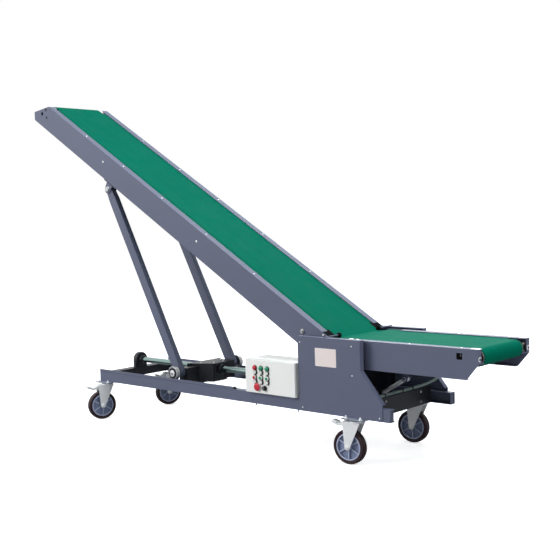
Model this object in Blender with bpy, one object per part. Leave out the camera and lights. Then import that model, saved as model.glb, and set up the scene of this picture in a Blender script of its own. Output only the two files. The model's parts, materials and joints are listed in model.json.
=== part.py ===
"""Mobile climbing belt conveyor: wheeled chassis, raised boom, level infeed and one green belt.

Blender 4.5, metres, +Z up. +X runs towards the low infeed end, -Y is the side with the control box.
X below is measured from 30 mm inside the rails' left end, Y from the rails' centre plane and Z from the
floor. The empty Machine moves them so that the origin lies under the middle of the whole machine.
"""

import math

import bmesh
import bpy
from mathutils import Matrix, Vector

for old in list(bpy.data.objects):
    bpy.data.objects.remove(old)

# Shared clearances and sheet
SEAT_GAP = 0.0003
SHEET = 0.003
BOLT_HEAD = 0.006
ROUND_SIDES = 24
SMALL_SIDES = 12
TYRE_SIDES = 2 * ROUND_SIDES

# Chassis rails
RAIL_START = -0.030
RAIL_OVERHANG = 0.230
RAIL_BOTTOM = 0.265
RAIL_HEIGHT = 0.070
RAIL_OUTER_Y = 0.3276
RAIL_WIDTH = 0.045
RAIL_WALL = 0.004
LIP_HEIGHT = 0.015
LIP_END = 1.301
BEAM_LIFT = 0.001
END_BEAM_DEPTH = 0.072
MOTOR_BEAM_X = 1.700
MOTOR_BEAM_DEPTH = 0.060
TILT_BEAM_DEPTH = 0.064
TILT_BEAM_HEIGHT = 0.044
FRONT_BEAM_DEPTH = 0.044
FRONT_BEAM_SETBACK = 0.133
FRONT_BEAM_HEIGHT = 0.101

# Boom, seen from its hinge at the knee
KNEE_X = 2.000
KNEE_Z = 0.600
BOOM_ANGLE = math.radians(31.05)
BOOM_TOP = 0.0945
BOOM_BOTTOM = 0.0675
BOOM_REACH = 3.168
HEAD_EDGE = 0.0588
HEAD_TOP_START = 3.053
# distance from the knee, rise, width of the square holes at the head
HEAD_HOLES = (
    (3.104, 0.0127, 0.024),
    (3.073, 0.0590, 0.018),
    (3.039, 0.0130, 0.017),
)
FRAME_OUTER_Y = 0.2724
TOP_FLANGE = 0.0485
BOTTOM_FLANGE = 0.028
BOOM_FLANGE_STOP = 0.085
INFEED_FLANGE_START = 0.170
TOP_WEDGE = math.radians(12)
BOTTOM_WEDGE = math.radians(20)
KNEE_CUT_RADIUS = 0.028
PIN_PLAY = 0.0005
EYE_RADIUS = 0.036
EYE_THICK = 0.005
EYE_ARM = 0.130
EYE_INSET = 0.001
EYE_SPACING = 0.0015
PAD_START = 0.045

# Infeed section
TAIL_END_X = 2.972
INFEED_TOP_Z = 0.691
INFEED_BOTTOM_Z = 0.531
TAIL_LOW_Z = 0.611
TAIL_CHAMFER_X = 2.905
END_FLANGE = 0.034
TENSION_SLOT_X = 2.866
TENSION_SLOT_Z = 0.650
TENSION_SLOT = 0.034

# Belt and drums
BELT_WIDTH = 0.396
BELT_THICK = 0.003
BELT_RECESS = 0.004
BOOM_BELT_GAP = 0.007
INFEED_BELT_GAP = 0.012
HEAD_AXIS_REACH = 3.056
HEAD_DRUM_RADIUS = 0.045
HEAD_SHAFT = 0.030
TAIL_DRUM_RADIUS = 0.045
TAIL_AXIS_X = 2.924
KNEE_SHAFT_RADIUS = 0.016
KNEE_ROLLER_RADIUS = 0.0257
BEND_HALF = 0.014
RETURN_STOP = 0.008
PRESS_RADIUS = 0.014
PRESS_WIDTH = 0.012
PRESS_STUB = 0.005
END_BOLT_RADIUS = 0.007
DRUM_OVERHANG = 0.010
BED_KNEE_GAP = 0.060
BED_THICK = 0.003
BED_SKIRT = 0.030
BED_RIB = 0.050
RETURN_ROLLER_RADIUS = 0.018
RETURN_SHAFT = 0.014
TAIL_SHAFT = 0.020
SNUB_SETBACK = 0.200
HIGH_RETURN = 2.050
LOW_RETURN = 1.050
BOOM_RIBS = 5
INFEED_RIBS = 2
TIE_HEIGHT = 0.024
TIE_WIDTH = 0.060
INFEED_TIE_WIDTH = 0.100
HIGH_TIE = 2.560
LOW_TIE = 0.840

# Lift linkage
PIN_REACH = 2.1667
PIN_DROP = 0.1139
STRUT_WIDTH = 0.066
STRUT_DEPTH = 0.040
LUG_THICK = 0.005
LUG_RADIUS = 0.030
LUG_LENGTH = 0.130
LUG_FOOT = 0.032
LUG_BASE = 0.006
PIN_HEAD = 0.016
PIN_HEAD_RISE = 0.008
STRUT_EYE = 0.025
STRUT_NECK = 0.085
ROLLER_RADIUS = 0.046
ROLLER_WIDTH = 0.028
AXLE_RADIUS = 0.014
FOOT_X = 0.730
BEAM_DROP = 0.092
BEAM_RISE = 0.026
BEAM_BACK = 0.030
BEAM_FRONT = 0.046
HOUSING_FRONT = 0.132
HOUSING_TOP_Z = 0.424
HOUSING_BOTTOM_Z = 0.300
HOUSING_WIDE_Y = 0.155
HOUSING_NARROW_Y = 0.062
HOUSING_SETBACK = 0.002
BEAM_SIDE_GAP = 0.001
ROLLER_SIDE_GAP = 0.003
ROLLER_BEVEL = 0.002
AXLE_OVERHANG = 0.004
ROLLER_GROOVE = 0.003
NUT_HALF = 0.056
NUT_LOW = 0.063
NUT_HIGH = 0.039
NUT_PLATE = 0.010
NUT_BOLT_Y = 0.043
NUT_BOLT_LOW = 0.048
NUT_BOLT_HIGH = 0.026
NUT_COLLAR_RADIUS = 0.032
NUT_COLLAR_DEPTH = 0.022

# Screw drive
SCREW_Z = 0.383
SCREW_RADIUS = 0.020
SCREW_START = 0.045
SCREW_END = 1.640
BEARING_RADIUS = 0.053
BEARING_DEPTH = 0.030
BEARING_FOOT = 0.004
MOTOR_HALF = 0.065
MOTOR_RADIUS = 0.066
MOTOR_DROP = 0.078
MOTOR_RISE = 0.075
GEARBOX_LENGTH = 0.120
MOTOR_LENGTH = 0.270
TERMINAL_START = 0.110
TERMINAL_LENGTH = 0.130
TERMINAL_HALF = 0.055
TERMINAL_RISE = 0.112

# Cheek plates
CHEEK_LEFT = 1.839
CHEEK_RIGHT_TOP = 2.283
CHEEK_RIGHT_LOW = 2.426
CHEEK_TOP_Z = 0.700
CHEEK_SHOULDER_Z = 0.528
CHEEK_HEEL_Z = 0.356
CHEEK_FLANGE = 0.034

# Control box
BOX_LEFT = 1.436
BOX_WIDTH = 0.392
BOX_HEIGHT = 0.204
BOX_DEPTH = 0.200
BOX_FRONT_Y = 0.352
BOX_WALL = 0.003
DOOR_THICK = 0.016
DOOR_MARGIN = 0.004

# Casters
SWIVEL_LEFT_X = 0.034
SWIVEL_BASE = 2.209
WHEEL_TRACK = 0.632
WHEEL_RADIUS = 0.100
TREAD_THICK = 0.022
WHEEL_WIDTH = 0.046
TRAIL = 0.048
LEFT_TURN = math.radians(70)
RIGHT_TURN = math.radians(6)
CASTER_PLATE_X = 0.144
CASTER_PLATE_Y = 0.100
CASTER_PLATE_THICK = 0.006
FORK_WALL = 0.004
RACE_RADIUS = 0.036
RACE_DEPTH = 0.008
CROWN_DEPTH = 0.010
LEG_GAP = 0.006
LEG_FRONT = 0.036
LEG_BACK = 0.078
LEG_END_RADIUS = 0.017
AXLE_BOLT = 0.006
AXLE_HEAD = 0.006
PEDAL_HALF = 0.022
PEDAL_REACH = 0.155
PEDAL_TOP = 0.014
PEDAL_LOW = 0.036
CORE_HUB = 0.021
CORE_WEB = 0.006
CORE_RIM = 0.009
SPOKES = 6
SPOKE_WIDTH = 0.008

# Tilt actuator under the infeed
EYE_X = 2.358
EYE_Z = 0.449
TILT_BASE_X = 2.090
TILT_BASE_Z = 0.288
TILT_BEAM_SETBACK = 0.026
TILT_BODY_RADIUS = 0.022
TILT_BODY_LENGTH = 0.125
TILT_BORE_START = 0.042
TILT_ROD_START = 0.075
TILT_ROD_RADIUS = 0.012
TILT_PIN_RADIUS = 0.008
TILT_EYE_RADIUS = 0.017
TILT_BASE_EYE = 0.020
TILT_EYE_HALF = 0.010
EYE_SLACK = 0.002
CLEVIS_THICK = 0.006
CLEVIS_GAP = 0.002

# Cable conduit over the front beam
CONDUIT_RADIUS = 0.009
CONDUIT_INSET = 0.014
CONDUIT_END_Z = 0.472
# forward of the conduit's run on the beam, y, rise above that run
CONDUIT_BENDS = (
    (0.000, 0.110, 0.000),
    (0.034, 0.170, 0.014),
    (0.072, 0.205, 0.034),
    (0.105, 0.215, 0.062),
)
CONDUIT_END_FORWARD = 0.118
CONDUIT_END_Y = 0.215

# Places worked out from the sizes above
RAIL_TOP = RAIL_BOTTOM + RAIL_HEIGHT
RAIL_INNER_Y = RAIL_OUTER_Y - RAIL_WIDTH
RAIL_END = SWIVEL_LEFT_X + SWIVEL_BASE + RAIL_OVERHANG
FRONT_BEAM_X = RAIL_END - FRONT_BEAM_SETBACK
HEAD_NOSE_X = KNEE_X - BOOM_REACH * math.cos(BOOM_ANGLE) - BOOM_BOTTOM * math.sin(BOOM_ANGLE)
BELT_TAIL_X = TAIL_AXIS_X + TAIL_DRUM_RADIUS + BELT_THICK
MACHINE_END_X = max(TAIL_END_X + BOLT_HEAD, BELT_TAIL_X)
CENTRE_X = (HEAD_NOSE_X + MACHINE_END_X) / 2
BELT_TOP = BOOM_TOP - BELT_RECESS
INFEED_TOP = INFEED_TOP_Z - KNEE_Z
INFEED_BOTTOM = KNEE_Z - INFEED_BOTTOM_Z
INFEED_BELT_TOP = INFEED_TOP - BELT_RECESS
HEAD_AXIS_RISE = BELT_TOP - BELT_THICK - HEAD_DRUM_RADIUS
TAIL_AXIS_RISE = INFEED_BELT_TOP - BELT_THICK - TAIL_DRUM_RADIUS
FOOT_Z = RAIL_TOP + ROLLER_RADIUS + SEAT_GAP
RETURN_LEVEL = KNEE_ROLLER_RADIUS + SEAT_GAP + BELT_THICK / 2
BELT_HALF = BELT_WIDTH / 2
DRUM_HALF = BELT_HALF + DRUM_OVERHANG


def material(name, colour, roughness, metallic=0.0):
    made = bpy.data.materials.new(name)
    made.use_nodes = True
    shader = made.node_tree.nodes["Principled BSDF"]
    shader.inputs["Base Color"].default_value = (*colour, 1.0)
    shader.inputs["Roughness"].default_value = roughness
    shader.inputs["Metallic"].default_value = metallic
    made.diffuse_color = (*colour, 1.0)
    return made


SLATE = material("slate painted steel", (0.125, 0.130, 0.175), 0.45)
DARK = material("black painted steel", (0.03, 0.03, 0.035), 0.5)
BELT = material("green PVC belt", (0.0, 0.26, 0.16), 0.55)
CHROME = material("hard chrome steel", (0.75, 0.76, 0.76), 0.12, 1.0)
ZINC = material("zinc plated steel", (0.55, 0.57, 0.58), 0.3, 1.0)
STEEL = material("bright steel", (0.6, 0.6, 0.6), 0.3, 1.0)
BOX = material("off-white enamel", (0.80, 0.82, 0.78), 0.4)
RED = material("red plastic", (0.60, 0.02, 0.04), 0.35)
TREAD = material("maroon polyurethane", (0.07, 0.025, 0.03), 0.5)
CORE = material("blue-grey plastic", (0.22, 0.26, 0.36), 0.45)


def empty(name, parent=None, location=(0, 0, 0), turn_y=0.0):
    made = bpy.data.objects.new(name, None)
    bpy.context.collection.objects.link(made)
    made.parent = parent
    made.location = location
    made.rotation_euler = (0, turn_y, 0)
    return made


def solid(name, mesh, look, parent, location=(0, 0, 0)):
    """Puts a bmesh into the scene as one object, faces out, under its parent."""
    bmesh.ops.recalc_face_normals(mesh, faces=mesh.faces)
    data = bpy.data.meshes.new(name)
    mesh.to_mesh(data)
    mesh.free()
    data.materials.append(look)
    made = bpy.data.objects.new(name, data)
    bpy.context.collection.objects.link(made)
    made.parent = parent
    made.location = location
    return made


def prism(points, low, high, axis="Y"):
    """A closed outline drawn across the axis and drawn out along it. XZ for Y, YZ for X, XY for Z."""
    place = {
        "X": lambda a, b, c: (c, a, b),
        "Y": lambda a, b, c: (a, c, b),
        "Z": lambda a, b, c: (a, b, c),
    }[axis]
    mesh = bmesh.new()
    rings = [[mesh.verts.new(place(a, b, c)) for a, b in points] for c in (low, high)]
    mesh.faces.new(rings[0])
    mesh.faces.new(reversed(rings[1]))
    for i in range(len(points)):
        j = (i + 1) % len(points)
        mesh.faces.new((rings[0][i], rings[1][i], rings[1][j], rings[0][j]))
    return mesh


def block(x0, x1, y0, y1, z0, z1):
    return prism([(x0, z0), (x1, z0), (x1, z1), (x0, z1)], y0, y1)


def arc(centre, radius, start, end, steps):
    """Points on a circle from one angle to another, in degrees, both ends included."""
    return [
        (
            centre[0] + radius * math.cos(math.radians(start + (end - start) * i / steps)),
            centre[1] + radius * math.sin(math.radians(start + (end - start) * i / steps)),
        )
        for i in range(steps + 1)
    ]


def bar(start, end, radius, sides=ROUND_SIDES):
    """A round bar between two points."""
    start, end = Vector(start), Vector(end)
    mesh = bmesh.new()
    bmesh.ops.create_cone(
        mesh, cap_ends=True, segments=sides, radius1=radius, radius2=radius, depth=(end - start).length
    )
    turn = Vector((0, 0, 1)).rotation_difference(end - start).to_matrix().to_4x4()
    bmesh.ops.transform(mesh, matrix=Matrix.Translation((start + end) / 2) @ turn, verts=mesh.verts)
    return mesh


def turned(profile, axis="Y", sides=ROUND_SIDES):
    """Spins (radius, place) pairs about an axis. The profile is closed and may touch the axis."""
    mesh = bmesh.new()
    rings = []
    for k in range(sides):
        angle = 2 * math.pi * k / sides
        c, s = math.cos(angle), math.sin(angle)
        ring = []
        for radius, along in profile:
            point = {"Y": (radius * c, along, radius * s), "Z": (radius * c, radius * s, along),
                     "X": (along, radius * c, radius * s)}[axis]
            ring.append(mesh.verts.new(point))
        rings.append(ring)
    count = len(profile)
    for k in range(sides):
        near, far = rings[k], rings[(k + 1) % sides]
        for i in range(count):
            j = (i + 1) % count
            mesh.faces.new((near[i], near[j], far[j], far[i]))
    bmesh.ops.remove_doubles(mesh, verts=mesh.verts, dist=1e-6)
    return mesh


def helper(made):
    made.hide_render = True
    made.display_type = "WIRE"
    return made


def join(base, *meshes):
    """Adds each mesh to the base object with a Boolean union."""
    for mesh in meshes:
        other = helper(solid(f"{base.name} add", mesh, base.data.materials[0], base))
        boolean = base.modifiers.new("join", "BOOLEAN")
        boolean.operation = "UNION"
        boolean.object = other
    return base


def cut(base, *meshes):
    """Takes each mesh away from the base object with a Boolean difference."""
    for mesh in meshes:
        other = helper(solid(f"{base.name} cut", mesh, base.data.materials[0], base))
        boolean = base.modifiers.new("cut", "BOOLEAN")
        boolean.operation = "DIFFERENCE"
        boolean.object = other
    return base


def smooth(*objects):
    for made in objects:
        for face in made.data.polygons:
            face.use_smooth = True
        made.data.set_sharp_from_angle(angle=math.radians(35))
    return objects[0]


def channel(outer, inner, bottom, top, wall, lower_lip, upper_lip):
    """YZ outline of a web with an inward flange at the bottom and at the top, for either side."""
    side = 1 if outer > inner else -1
    web = outer - side * wall
    return [
        (outer, bottom), (outer, top),
        (outer - side * upper_lip, top), (outer - side * upper_lip, top - wall),
        (web, top - wall), (web, bottom + wall),
        (outer - side * lower_lip, bottom + wall), (outer - side * lower_lip, bottom),
    ]


machine = empty("Machine", location=(-CENTRE_X, 0, 0))
boom = empty("Boom hinge", machine, (KNEE_X, 0, KNEE_Z), BOOM_ANGLE)
infeed = empty("Infeed hinge", machine, (KNEE_X, 0, KNEE_Z))
SIDES = (("near", -1), ("far", 1))


# Chassis rails and cross beams
def rail(side_name, side):
    outer, inner = side * RAIL_OUTER_Y, side * RAIL_INNER_Y
    outline = channel(outer, inner, RAIL_BOTTOM, RAIL_TOP, RAIL_WALL, RAIL_WIDTH, RAIL_WIDTH)
    made = solid(f"rail_{side_name}", prism(outline, RAIL_START, RAIL_END, "X"), SLATE, machine)
    low_y, high_y = sorted((outer, outer - side * RAIL_WALL))
    join(made, block(RAIL_START, LIP_END, low_y, high_y, RAIL_TOP - RAIL_WALL / 2, RAIL_TOP + LIP_HEIGHT))
    return made


for side_name, side in SIDES:
    rail(side_name, side)

BEAM_BOTTOM = RAIL_BOTTOM + BEAM_LIFT
BEAM_INNER_Y = RAIL_INNER_Y - SEAT_GAP
END_BEAM_LEFT = RAIL_START + RAIL_WALL
END_BEAM_TOP = SCREW_Z - BEARING_RADIUS - BEARING_FOOT
MOTOR_BEAM_TOP = SCREW_Z - MOTOR_DROP
TILT_BEAM_TOP = BEAM_BOTTOM + TILT_BEAM_HEIGHT
FRONT_BEAM_TOP = BEAM_BOTTOM + FRONT_BEAM_HEIGHT
tilt_beam_right = TILT_BASE_X - TILT_BEAM_SETBACK
# name, left x, right x, top z
CROSS_BEAMS = (
    ("end_beam", END_BEAM_LEFT, END_BEAM_LEFT + END_BEAM_DEPTH, END_BEAM_TOP),
    ("motor_beam", MOTOR_BEAM_X, MOTOR_BEAM_X + MOTOR_BEAM_DEPTH, MOTOR_BEAM_TOP),
    ("tilt_beam", tilt_beam_right - TILT_BEAM_DEPTH, tilt_beam_right, TILT_BEAM_TOP),
    ("front_beam", FRONT_BEAM_X - FRONT_BEAM_DEPTH, FRONT_BEAM_X, FRONT_BEAM_TOP),
)


def cross_beam(name, left, right, top):
    return solid(name, block(left, right, -BEAM_INNER_Y, BEAM_INNER_Y, BEAM_BOTTOM, top), DARK, machine)


for name, left, right, top in CROSS_BEAMS:
    cross_beam(name, left, right, top)


# Lift screw, its bearing and its drive
def screw_bearing():
    made = solid(
        "screw_bearing",
        bar((SCREW_START - BEARING_DEPTH, 0, SCREW_Z), (SCREW_START, 0, SCREW_Z), BEARING_RADIUS),
        DARK,
        machine,
    )
    foot = block(
        SCREW_START - BEARING_DEPTH, SCREW_START - BEARING_DEPTH / 5, -BEARING_RADIUS, BEARING_RADIUS,
        END_BEAM_TOP + SEAT_GAP, SCREW_Z,
    )
    return smooth(join(made, foot))


screw_bearing()
screw_ends = ((SCREW_START + SEAT_GAP, 0, SCREW_Z), (SCREW_END, 0, SCREW_Z))
smooth(solid("lift_screw", bar(*screw_ends, SCREW_RADIUS), CHROME, machine))
MOTOR_START = SCREW_END + SEAT_GAP
MOTOR_BODY_X = MOTOR_START + GEARBOX_LENGTH
motor = solid(
    "lift_motor",
    block(
        MOTOR_START, MOTOR_BODY_X, -MOTOR_HALF, MOTOR_HALF, MOTOR_BEAM_TOP + SEAT_GAP, SCREW_Z + MOTOR_RISE,
    ),
    DARK,
    machine,
)
terminal_x = MOTOR_BODY_X + TERMINAL_START
join(
    motor,
    bar((MOTOR_BODY_X - 0.010, 0, SCREW_Z), (MOTOR_BODY_X + MOTOR_LENGTH, 0, SCREW_Z), MOTOR_RADIUS),
    block(
        terminal_x, terminal_x + TERMINAL_LENGTH, -TERMINAL_HALF, TERMINAL_HALF,
        SCREW_Z, SCREW_Z + TERMINAL_RISE,
    ),
)
smooth(motor)


# Cheek plates with folded edges
def cheek(side_name, side):
    outer = side * (RAIL_OUTER_Y + SEAT_GAP + SHEET)
    inner = side * (RAIL_OUTER_Y + SEAT_GAP)
    low_y, high_y = sorted((inner, outer))
    outline = [
        (CHEEK_LEFT, RAIL_BOTTOM), (CHEEK_RIGHT_LOW, RAIL_BOTTOM), (CHEEK_RIGHT_LOW, CHEEK_HEEL_Z),
        (CHEEK_RIGHT_TOP, CHEEK_SHOULDER_Z), (CHEEK_RIGHT_TOP, CHEEK_TOP_Z), (CHEEK_LEFT, CHEEK_TOP_Z),
    ]
    made = solid(f"cheek_{side_name}", prism(outline, low_y, high_y), SLATE, machine)
    lip_low, lip_high = sorted((outer, outer - side * CHEEK_FLANGE))
    top_lip = block(CHEEK_LEFT, CHEEK_RIGHT_TOP, lip_low, lip_high, CHEEK_TOP_Z - SHEET, CHEEK_TOP_Z)
    edge = block(CHEEK_RIGHT_TOP - SHEET, CHEEK_RIGHT_TOP, lip_low, lip_high, CHEEK_SHOULDER_Z, CHEEK_TOP_Z)
    slant = prism(
        [
            (CHEEK_RIGHT_TOP, CHEEK_SHOULDER_Z), (CHEEK_RIGHT_TOP - SHEET, CHEEK_SHOULDER_Z + 0.001),
            (CHEEK_RIGHT_LOW - SHEET, CHEEK_HEEL_Z), (CHEEK_RIGHT_LOW, CHEEK_HEEL_Z),
        ],
        lip_low,
        lip_high,
    )
    return join(made, top_lip, edge, slant)


for side_name, side in SIDES:
    cheek(side_name, side)


# Knee shaft that both frames turn on
knee_shaft = solid(
    "knee_shaft",
    turned([
        (0, -RAIL_OUTER_Y), (KNEE_SHAFT_RADIUS, -RAIL_OUTER_Y), (KNEE_SHAFT_RADIUS, -DRUM_HALF),
        (KNEE_ROLLER_RADIUS, -DRUM_HALF), (KNEE_ROLLER_RADIUS, DRUM_HALF), (KNEE_SHAFT_RADIUS, DRUM_HALF),
        (KNEE_SHAFT_RADIUS, RAIL_OUTER_Y), (0, RAIL_OUTER_Y),
    ]),
    STEEL, machine, (KNEE_X, 0, KNEE_Z),
)
smooth(knee_shaft)

# Side panels of the boom and of the infeed, with their hinge eyes on the knee shaft
PANEL_INNER_Y = FRAME_OUTER_Y - SHEET
BOOM_EYE_Y = PANEL_INNER_Y - EYE_INSET
INFEED_EYE_Y = BOOM_EYE_Y - EYE_THICK - EYE_SPACING


def panel(name, parent, side, outline, top_run, bottom_run, top, bottom):
    """A web with its top flange and bottom flange folded inwards. Runs are (from x, to x)."""
    outer, inner = side * FRAME_OUTER_Y, side * PANEL_INNER_Y
    low_y, high_y = sorted((outer, inner))
    made = solid(name, prism(outline, low_y, high_y), SLATE, parent)
    cut(made, bar((0, low_y - 0.01, 0), (0, high_y + 0.01, 0), KNEE_CUT_RADIUS))
    top_low, top_high = sorted((outer, outer - side * TOP_FLANGE))
    bottom_low, bottom_high = sorted((outer, outer - side * BOTTOM_FLANGE))
    return join(
        made,
        block(*top_run, top_low, top_high, top - SHEET, top),
        block(*bottom_run, bottom_low, bottom_high, bottom, bottom + SHEET),
    )


def hinge_eye(made, side, along, face_y):
    """Adds an eye round the knee shaft, on an arm that runs back along its own panel (along is -1 or 1)."""
    low_y, high_y = sorted((side * face_y, side * (face_y - EYE_THICK)))
    round_end = [(-along * a, b) for a, b in arc((0, 0), EYE_RADIUS, 90, -90, 14)]
    outline = [(along * EYE_ARM, EYE_RADIUS), *round_end, (along * EYE_ARM, -EYE_RADIUS)]
    pad_x = sorted((along * PAD_START, along * EYE_ARM))
    pad_y = sorted((side * (face_y - EYE_THICK / 2), side * (PANEL_INNER_Y + SHEET / 2)))
    join(made, prism(outline, low_y, high_y), block(*pad_x, *pad_y, -EYE_RADIUS, EYE_RADIUS))
    return cut(made, bar((0, low_y - 0.01, 0), (0, high_y + 0.01, 0), KNEE_SHAFT_RADIUS + PIN_PLAY))


def square_hole(x, z, size, side):
    """A cutter for a square hole through a side panel."""
    half = size / 2
    face_y = sorted((side * (PANEL_INNER_Y - SHEET), side * (FRAME_OUTER_Y + SHEET)))
    return block(x - half, x + half, *face_y, z - half, z + half)


HEAD_NOSE_DROP = HEAD_EDGE * math.cos(BOOM_ANGLE) - BOOM_BOTTOM
HEAD_NOSE_REACH = BOOM_REACH + HEAD_EDGE * math.sin(BOOM_ANGLE)


def seam(boom_level, infeed_level, wedge):
    """Where the two panels' edges stop at the knee: (place along the boom, place along the infeed).

    The gap between them is a wedge about the knee's axis, so it stays clear as either one turns."""
    meet_x = (boom_level - infeed_level * math.cos(BOOM_ANGLE)) / math.sin(BOOM_ANGLE)
    middle = math.atan2(infeed_level, meet_x)
    half = wedge / 2 if infeed_level > 0 else -wedge / 2
    return boom_level / math.tan(middle + half + BOOM_ANGLE), infeed_level / math.tan(middle - half)


BOOM_TOP_STOP, INFEED_TOP_STOP = seam(BOOM_TOP, INFEED_TOP, TOP_WEDGE)
BOOM_BOTTOM_STOP, INFEED_BOTTOM_STOP = seam(-BOOM_BOTTOM, -INFEED_BOTTOM, BOTTOM_WEDGE)
boom_outline = [
    (BOOM_BOTTOM_STOP, -BOOM_BOTTOM), (0, 0), (BOOM_TOP_STOP, BOOM_TOP), (-HEAD_TOP_START, BOOM_TOP),
    (-HEAD_NOSE_REACH, HEAD_NOSE_DROP), (-BOOM_REACH, -BOOM_BOTTOM),
]
INFEED_LENGTH = TAIL_END_X - KNEE_X
CHAMFER_START = TAIL_CHAMFER_X - KNEE_X
infeed_outline = [
    (0, 0), (INFEED_BOTTOM_STOP, -INFEED_BOTTOM), (CHAMFER_START, -INFEED_BOTTOM),
    (INFEED_LENGTH, TAIL_LOW_Z - KNEE_Z), (INFEED_LENGTH, INFEED_TOP), (INFEED_TOP_STOP, INFEED_TOP),
]
for side_name, side in SIDES:
    boom_panel = panel(
        f"boom_panel_{side_name}", boom, side, boom_outline, (-HEAD_TOP_START, -BOOM_FLANGE_STOP),
        (-BOOM_REACH, BOOM_BOTTOM_STOP), BOOM_TOP, -BOOM_BOTTOM,
    )
    hinge_eye(boom_panel, side, -1, BOOM_EYE_Y)
    cut(boom_panel, *[square_hole(-reach, rise, size, side) for reach, rise, size in HEAD_HOLES])
    infeed_panel = panel(
        f"infeed_panel_{side_name}", infeed, side, infeed_outline, (INFEED_FLANGE_START, INFEED_LENGTH),
        (INFEED_BOTTOM_STOP, CHAMFER_START), INFEED_TOP, -INFEED_BOTTOM,
    )
    hinge_eye(infeed_panel, side, 1, INFEED_EYE_Y)
    cut(infeed_panel, square_hole(TENSION_SLOT_X - KNEE_X, TENSION_SLOT_Z - KNEE_Z, TENSION_SLOT, side))
    end_y = sorted((side * FRAME_OUTER_Y, side * (FRAME_OUTER_Y - END_FLANGE)))
    join(
        infeed_panel,
        block(INFEED_LENGTH - SHEET, INFEED_LENGTH, *end_y, TAIL_LOW_Z - KNEE_Z, INFEED_TOP),
        bar(
            (INFEED_LENGTH - 0.001, side * (FRAME_OUTER_Y - END_FLANGE / 2), TAIL_AXIS_RISE),
            (INFEED_LENGTH + BOLT_HEAD, side * (FRAME_OUTER_Y - END_FLANGE / 2), TAIL_AXIS_RISE),
            END_BOLT_RADIUS, 6,
        ),
    )


# Belt, drums, beds and return rollers
SHAFT_END_Y = PANEL_INNER_Y - SEAT_GAP
KNEE_BEND_X = (BELT_TOP - INFEED_BELT_TOP * math.cos(BOOM_ANGLE)) / math.sin(BOOM_ANGLE)
KNEE_BEND_BACK = INFEED_BELT_TOP * math.sin(BOOM_ANGLE) - KNEE_BEND_X * math.cos(BOOM_ANGLE)
BOOM_BELT_START = KNEE_BEND_BACK + BEND_HALF + BOOM_BELT_GAP
INFEED_BELT_START = KNEE_BEND_X + BEND_HALF + INFEED_BELT_GAP


def tangent_angle(centre, radius, point):
    """Angle in degrees, on the circle, where a line from the point touches its lower side."""
    gap = Vector(point) - Vector(centre)
    lean = math.acos(radius / gap.length)
    heading = math.atan2(gap.y, gap.x)
    return math.degrees(heading - lean if gap.x > 0 else heading + lean)


def strip(path, thick):
    """Outline of an even strip along a centre line."""
    left, right = [], []
    for i, here in enumerate(path):
        before = Vector(path[max(i - 1, 0)])
        after = Vector(path[min(i + 1, len(path) - 1)])
        here = Vector(here)
        first = (here - before).normalized() if here != before else (after - here).normalized()
        second = (after - here).normalized() if after != here else first
        normal = Vector((-(first + second).y, (first + second).x)).normalized()
        reach = thick / 2 / max(normal.dot(Vector((-first.y, first.x))), 0.2)
        left.append(tuple(here + normal * reach))
        right.append(tuple(here - normal * reach))
    return left + right[::-1]


def belt_section(name, parent, along, top_centre, start, drum, drum_radius, snub):
    """A belt from the knee, out over its end drum and back under. along is -1 for the boom."""
    reach = drum_radius + BELT_THICK / 2 + SEAT_GAP
    low = tangent_angle(drum, reach, (snub, -RETURN_LEVEL))
    low = low % 360 if along < 0 else low % 360 - 360
    wrap = arc(drum, reach, 90, low, 24)
    path = [(along * start, top_centre), *wrap, (snub, -RETURN_LEVEL), (along * RETURN_STOP, -RETURN_LEVEL)]
    return solid(name, prism(strip(path, BELT_THICK), -BELT_HALF, BELT_HALF), BELT, parent)


head_axis = (-HEAD_AXIS_REACH, HEAD_AXIS_RISE)
tail_axis = (TAIL_AXIS_X - KNEE_X, TAIL_AXIS_RISE)
HEAD_SNUB = -HEAD_AXIS_REACH + SNUB_SETBACK
TAIL_SNUB = TAIL_AXIS_X - KNEE_X - SNUB_SETBACK
smooth(
    belt_section(
        "boom_belt", boom, -1, BELT_TOP - BELT_THICK / 2, BOOM_BELT_START, head_axis,
        HEAD_DRUM_RADIUS - SEAT_GAP, HEAD_SNUB,
    ),
    belt_section(
        "infeed_belt", infeed, 1, INFEED_BELT_TOP - BELT_THICK / 2, INFEED_BELT_START, tail_axis,
        TAIL_DRUM_RADIUS - SEAT_GAP, TAIL_SNUB,
    ),
)

cos_boom, sin_boom = math.cos(BOOM_ANGLE), math.sin(BOOM_ANGLE)
bend_z = INFEED_BELT_TOP - BELT_THICK / 2
knee_path = [
    (KNEE_BEND_X - BEND_HALF * cos_boom, bend_z + BEND_HALF * sin_boom), (KNEE_BEND_X, bend_z),
    (KNEE_BEND_X + BEND_HALF, bend_z),
]
solid(
    "knee_belt", prism(strip(knee_path, BELT_THICK), -BELT_HALF, BELT_HALF), BELT, machine,
    (KNEE_X, 0, KNEE_Z),
)


def roller(name, parent, centre, radius, half_length, shaft_radius, look, sides=ROUND_SIDES):
    """A drum or roller across the machine with its shaft out to both panels."""
    profile = [
        (0, -SHAFT_END_Y), (shaft_radius, -SHAFT_END_Y), (shaft_radius, -half_length), (radius, -half_length),
        (radius, half_length), (shaft_radius, half_length), (shaft_radius, SHAFT_END_Y), (0, SHAFT_END_Y),
    ]
    return smooth(solid(name, turned(profile, "Y", sides), look, parent, (centre[0], 0, centre[1])))


roller("head_drum", boom, head_axis, HEAD_DRUM_RADIUS - 2 * SEAT_GAP, DRUM_HALF, HEAD_SHAFT / 2, STEEL)
roller("tail_drum", infeed, tail_axis, TAIL_DRUM_RADIUS - 2 * SEAT_GAP, DRUM_HALF, TAIL_SHAFT / 2, STEEL)
RETURN_AXIS = -RETURN_LEVEL - BELT_THICK / 2 - SEAT_GAP - RETURN_ROLLER_RADIUS
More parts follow.
